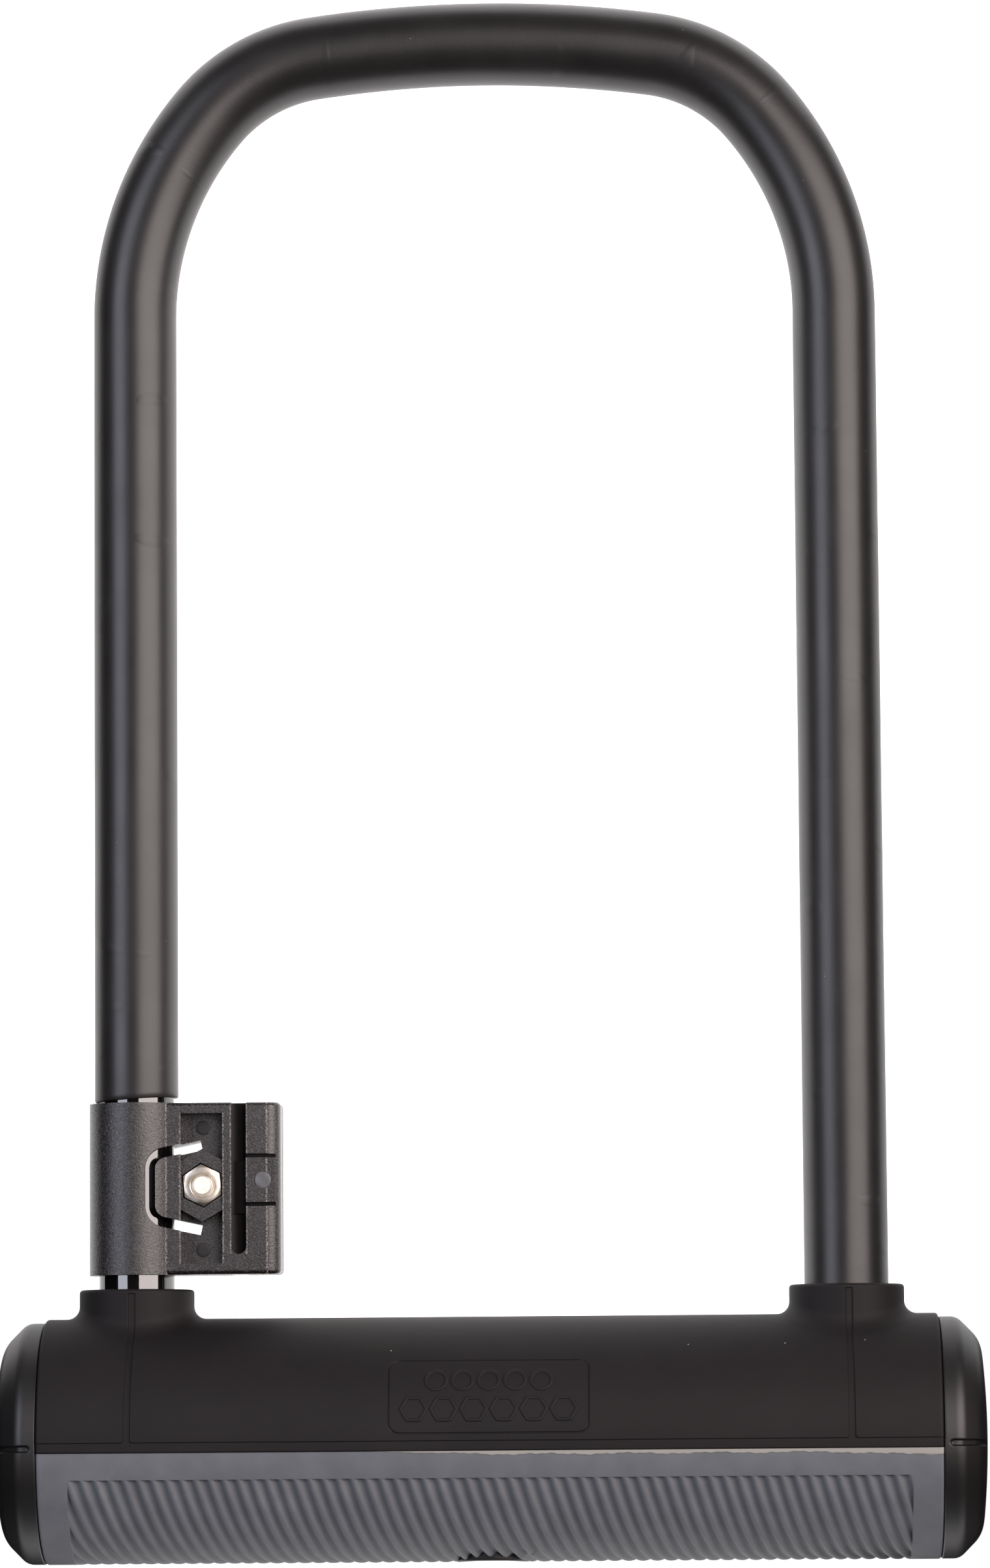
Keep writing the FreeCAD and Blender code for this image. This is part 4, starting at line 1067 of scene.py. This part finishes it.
def buildScrew():
    # A pole at the tip, the thread as a ridge that climbs one pitch a turn, the head and its socket
    low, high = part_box("bracket_screw")
    centre = (low + high) / 2
    tip = (high.z - axis.z) / mm
    foot = (low.z - axis.z) / mm
    angle = np.linspace(0, 2 * math.pi, 61)
    neck = foot + screw["headHeight"]
    heights = np.linspace(tip, neck, 150)
    climb = heights[:, None] / screw["pitch"] - angle[None, :] / (2 * math.pi)
    ridge = np.abs(np.mod(climb, 1) - 0.5) * 2
    taper = np.clip((tip - heights) / 0.7, 0, 1)[:, None]
    body = screw["thread"] - 0.62 * (1 - taper) - screw["threadDepth"] * (1 - ridge) * smooth(taper)
    rings = [(0 * angle, tip + 0 * angle), (body[0] * 0.75, tip + 0 * angle)]
    rings = rings + [(r, height + 0 * angle) for r, height in zip(body, heights)]
    head = screw["head"]
    socket = hexRadius(angle, screw["socket"])
    for r, z in ((head - 0.2, neck), (head, neck - 0.2), (head, foot + 0.5),
                 (head - 0.15, foot + 0.15), (head - 0.5, foot)):
        rings.append((r + 0 * angle, z + 0 * angle))
    rings.append((socket + 0.1, foot + 0 * angle))
    rings.append((socket, foot + 0.12 + 0 * angle))
    rings.append((socket, foot + screw["socketDepth"] + 0 * angle))
    rings.append((0 * angle, foot + screw["socketDepth"] + 0.3 + 0 * angle))
    points = stackedRings(rings, centre.x / mm, (centre.y - axis.y) / mm, angle)
    return addGrid("clampScrew", points, "zincRough", "bracket", "zinc_hardware", ["bracket_screw"],
                   sharp=35)


buildNut()
buildScrew()
print("stage: clamp nut and screw")


# Black keyway ring: a raised rim that dips a little where the grip curves away from it
keyRing = {"outer": 8.05, "mouth": 4.45, "dip": 0.42, "back": 3.0, "rimBack": 1.9}


def buildRing():
    # An outline of (radius, drop, share of the rim's own height) turned about the keyway's axis. The
    # rim drops further by the square of the cosine of the angle from the front.
    low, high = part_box("keyway_escutcheon")
    rimLine = (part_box("lower_grip")[0].y - axis.y) / mm + 0.02
    back = (high.y - axis.y) / mm
    floor = (low.y - axis.y) / mm + 0.08
    mouth, outer, deep, rimBack = (keyRing[key] for key in ("mouth", "outer", "back", "rimBack"))
    outline = np.array([[mouth, 0.5, 0], [mouth, 0.22, 0], [4.60, 0.06, 0], [4.9, 0, 0], [6.3, 0, 0],
                        [6.9, -0.1, 0.3], [7.2, 0.05, 1], [7.45, 0, 1], [7.75, 0.03, 1], [7.97, 0.18, 1],
                        [outer, 0.45, 1], [outer, rimBack, 1], [7.0, rimBack, 1], [7.0, deep, 0],
                        [5.2, deep, 0], [5.2, 0.5, 0], [mouth, 0.5, 0]])
    turn = np.linspace(0, 2 * math.pi, 121)
    r = outline[:, 0][:, None]
    dip = keyRing["dip"] * np.cos(turn)[None, :] ** 2
    onRim = outline[:, 2][:, None]
    drop = outline[:, 1][:, None]
    height = (1 - onRim) * (floor + drop) + onRim * (rimLine + dip + drop)
    height = np.minimum(height, back)
    points = np.stack([r * np.sin(turn), height, r * np.cos(turn)], axis=-1)
    return addGrid("keywayRing", points, "cap", "crossbar", "shutter_black", ["keyway_escutcheon"])


buildRing()
print("stage: keyway ring")


# Plain six-sided and round links stand on the framed panel of the cover
motif = {
    "stroke": 0.85, "height": 0.22, "cornerEase": 0.08,
    # each row: how many, their spacing, size, height over the panel's middle, and whether six-sided
    "rows": [(6, 6.4, 2.75, -3.2, True), (5, 5.6, 2.2, 3.4, False)],
}


def buildMotif():
    # Each link is a closed line of points at the radius of a hexagon or circle, with a half-round
    # section carried along it: out from the line by w, and up by the root of (1 less w squared).
    radius = (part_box("upper_cover")[1].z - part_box("upper_cover")[0].z) / 2 / mm
    angle = np.linspace(0, 2 * math.pi, 61)
    section = np.radians(np.linspace(0, 180, 9))
    out = np.concatenate([np.cos(section), [-1.0, 1.0, 1.0]]) * motif["stroke"] / 2
    up = np.concatenate([np.sin(section) * motif["height"], [-0.3, -0.3, 0.0]])
    points, faces = [], []
    loops = [((i - (count - 1) / 2) * step, line, size, sided)
             for count, step, size, line, sided in motif["rows"] for i in range(count)]
    for x, line, size, sided in loops:
        shape = size + 0 * angle
        if sided:
            ease = motif["cornerEase"]
            shape = hexRadius(angle, size * math.sqrt(3)) * (1 - ease) + size * ease
        away = shape[None, :] + out[:, None]
        u = x + away * np.cos(angle)[None, :]
        lift = math.asin(frameLine["middle"] / radius) + (line + away * np.sin(angle)[None, :]) / radius
        r = radius + up[:, None]
        faces.append(gridFaces(*u.shape) + len(points) * u.size)
        points.append(np.stack([u, r * np.sin(lift), r * np.cos(lift)], axis=-1).reshape(-1, 3))
    return addPiece("linkMotif", np.concatenate(points), np.concatenate(faces), "cover", "crossbar",
                    "cover_black", [], sharp=60)


buildMotif()
print("stage: link motif")


# Round marks on the bracket: two ejector pins in the pocket and the trimmed gate on the pad
discs = {"pinRadius": 1.55, "pinAcross": 14.6, "pinInset": 5.35, "pinTop": 2.53, "deep": 0.12,
         "gateRadius": 1.82, "gateAcross": 28.0, "gateUp": 20.35, "gateTop": 7.93}


def buildMark(name, across, up, radius, top, finish):
    # a shallow disc turned about its own axis, with a rounded rim
    base = (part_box("bracket_front")[0].y - axis.y) / mm
    deep = discs["deep"]
    outline = [(0, 0), (radius * 0.5, 0), (radius - deep, 0), (radius, -0.05), (radius, -deep), (0, -deep)]
    turn = np.linspace(0, 2 * math.pi, 49)
    rings = [(r, top + h + 0 * turn) for r, h in outline]
    points = stackedRings(rings, across - legLine, base + up, turn)
    return addGrid(name, points, finish, "bracket", "bracket_nylon", [], sharp=50)


bracketTall = (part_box("bracket_front")[1].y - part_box("bracket_front")[0].y) / mm
for name, up in (("pinMarkLow", discs["pinInset"]), ("pinMarkHigh", bracketTall - discs["pinInset"])):
    buildMark(name, discs["pinAcross"], up, discs["pinRadius"], discs["pinTop"], "pinMark")
buildMark("gateMark", discs["gateAcross"], discs["gateUp"], discs["gateRadius"], discs["gateTop"],
          "cutMark")
print("stage: bracket marks")
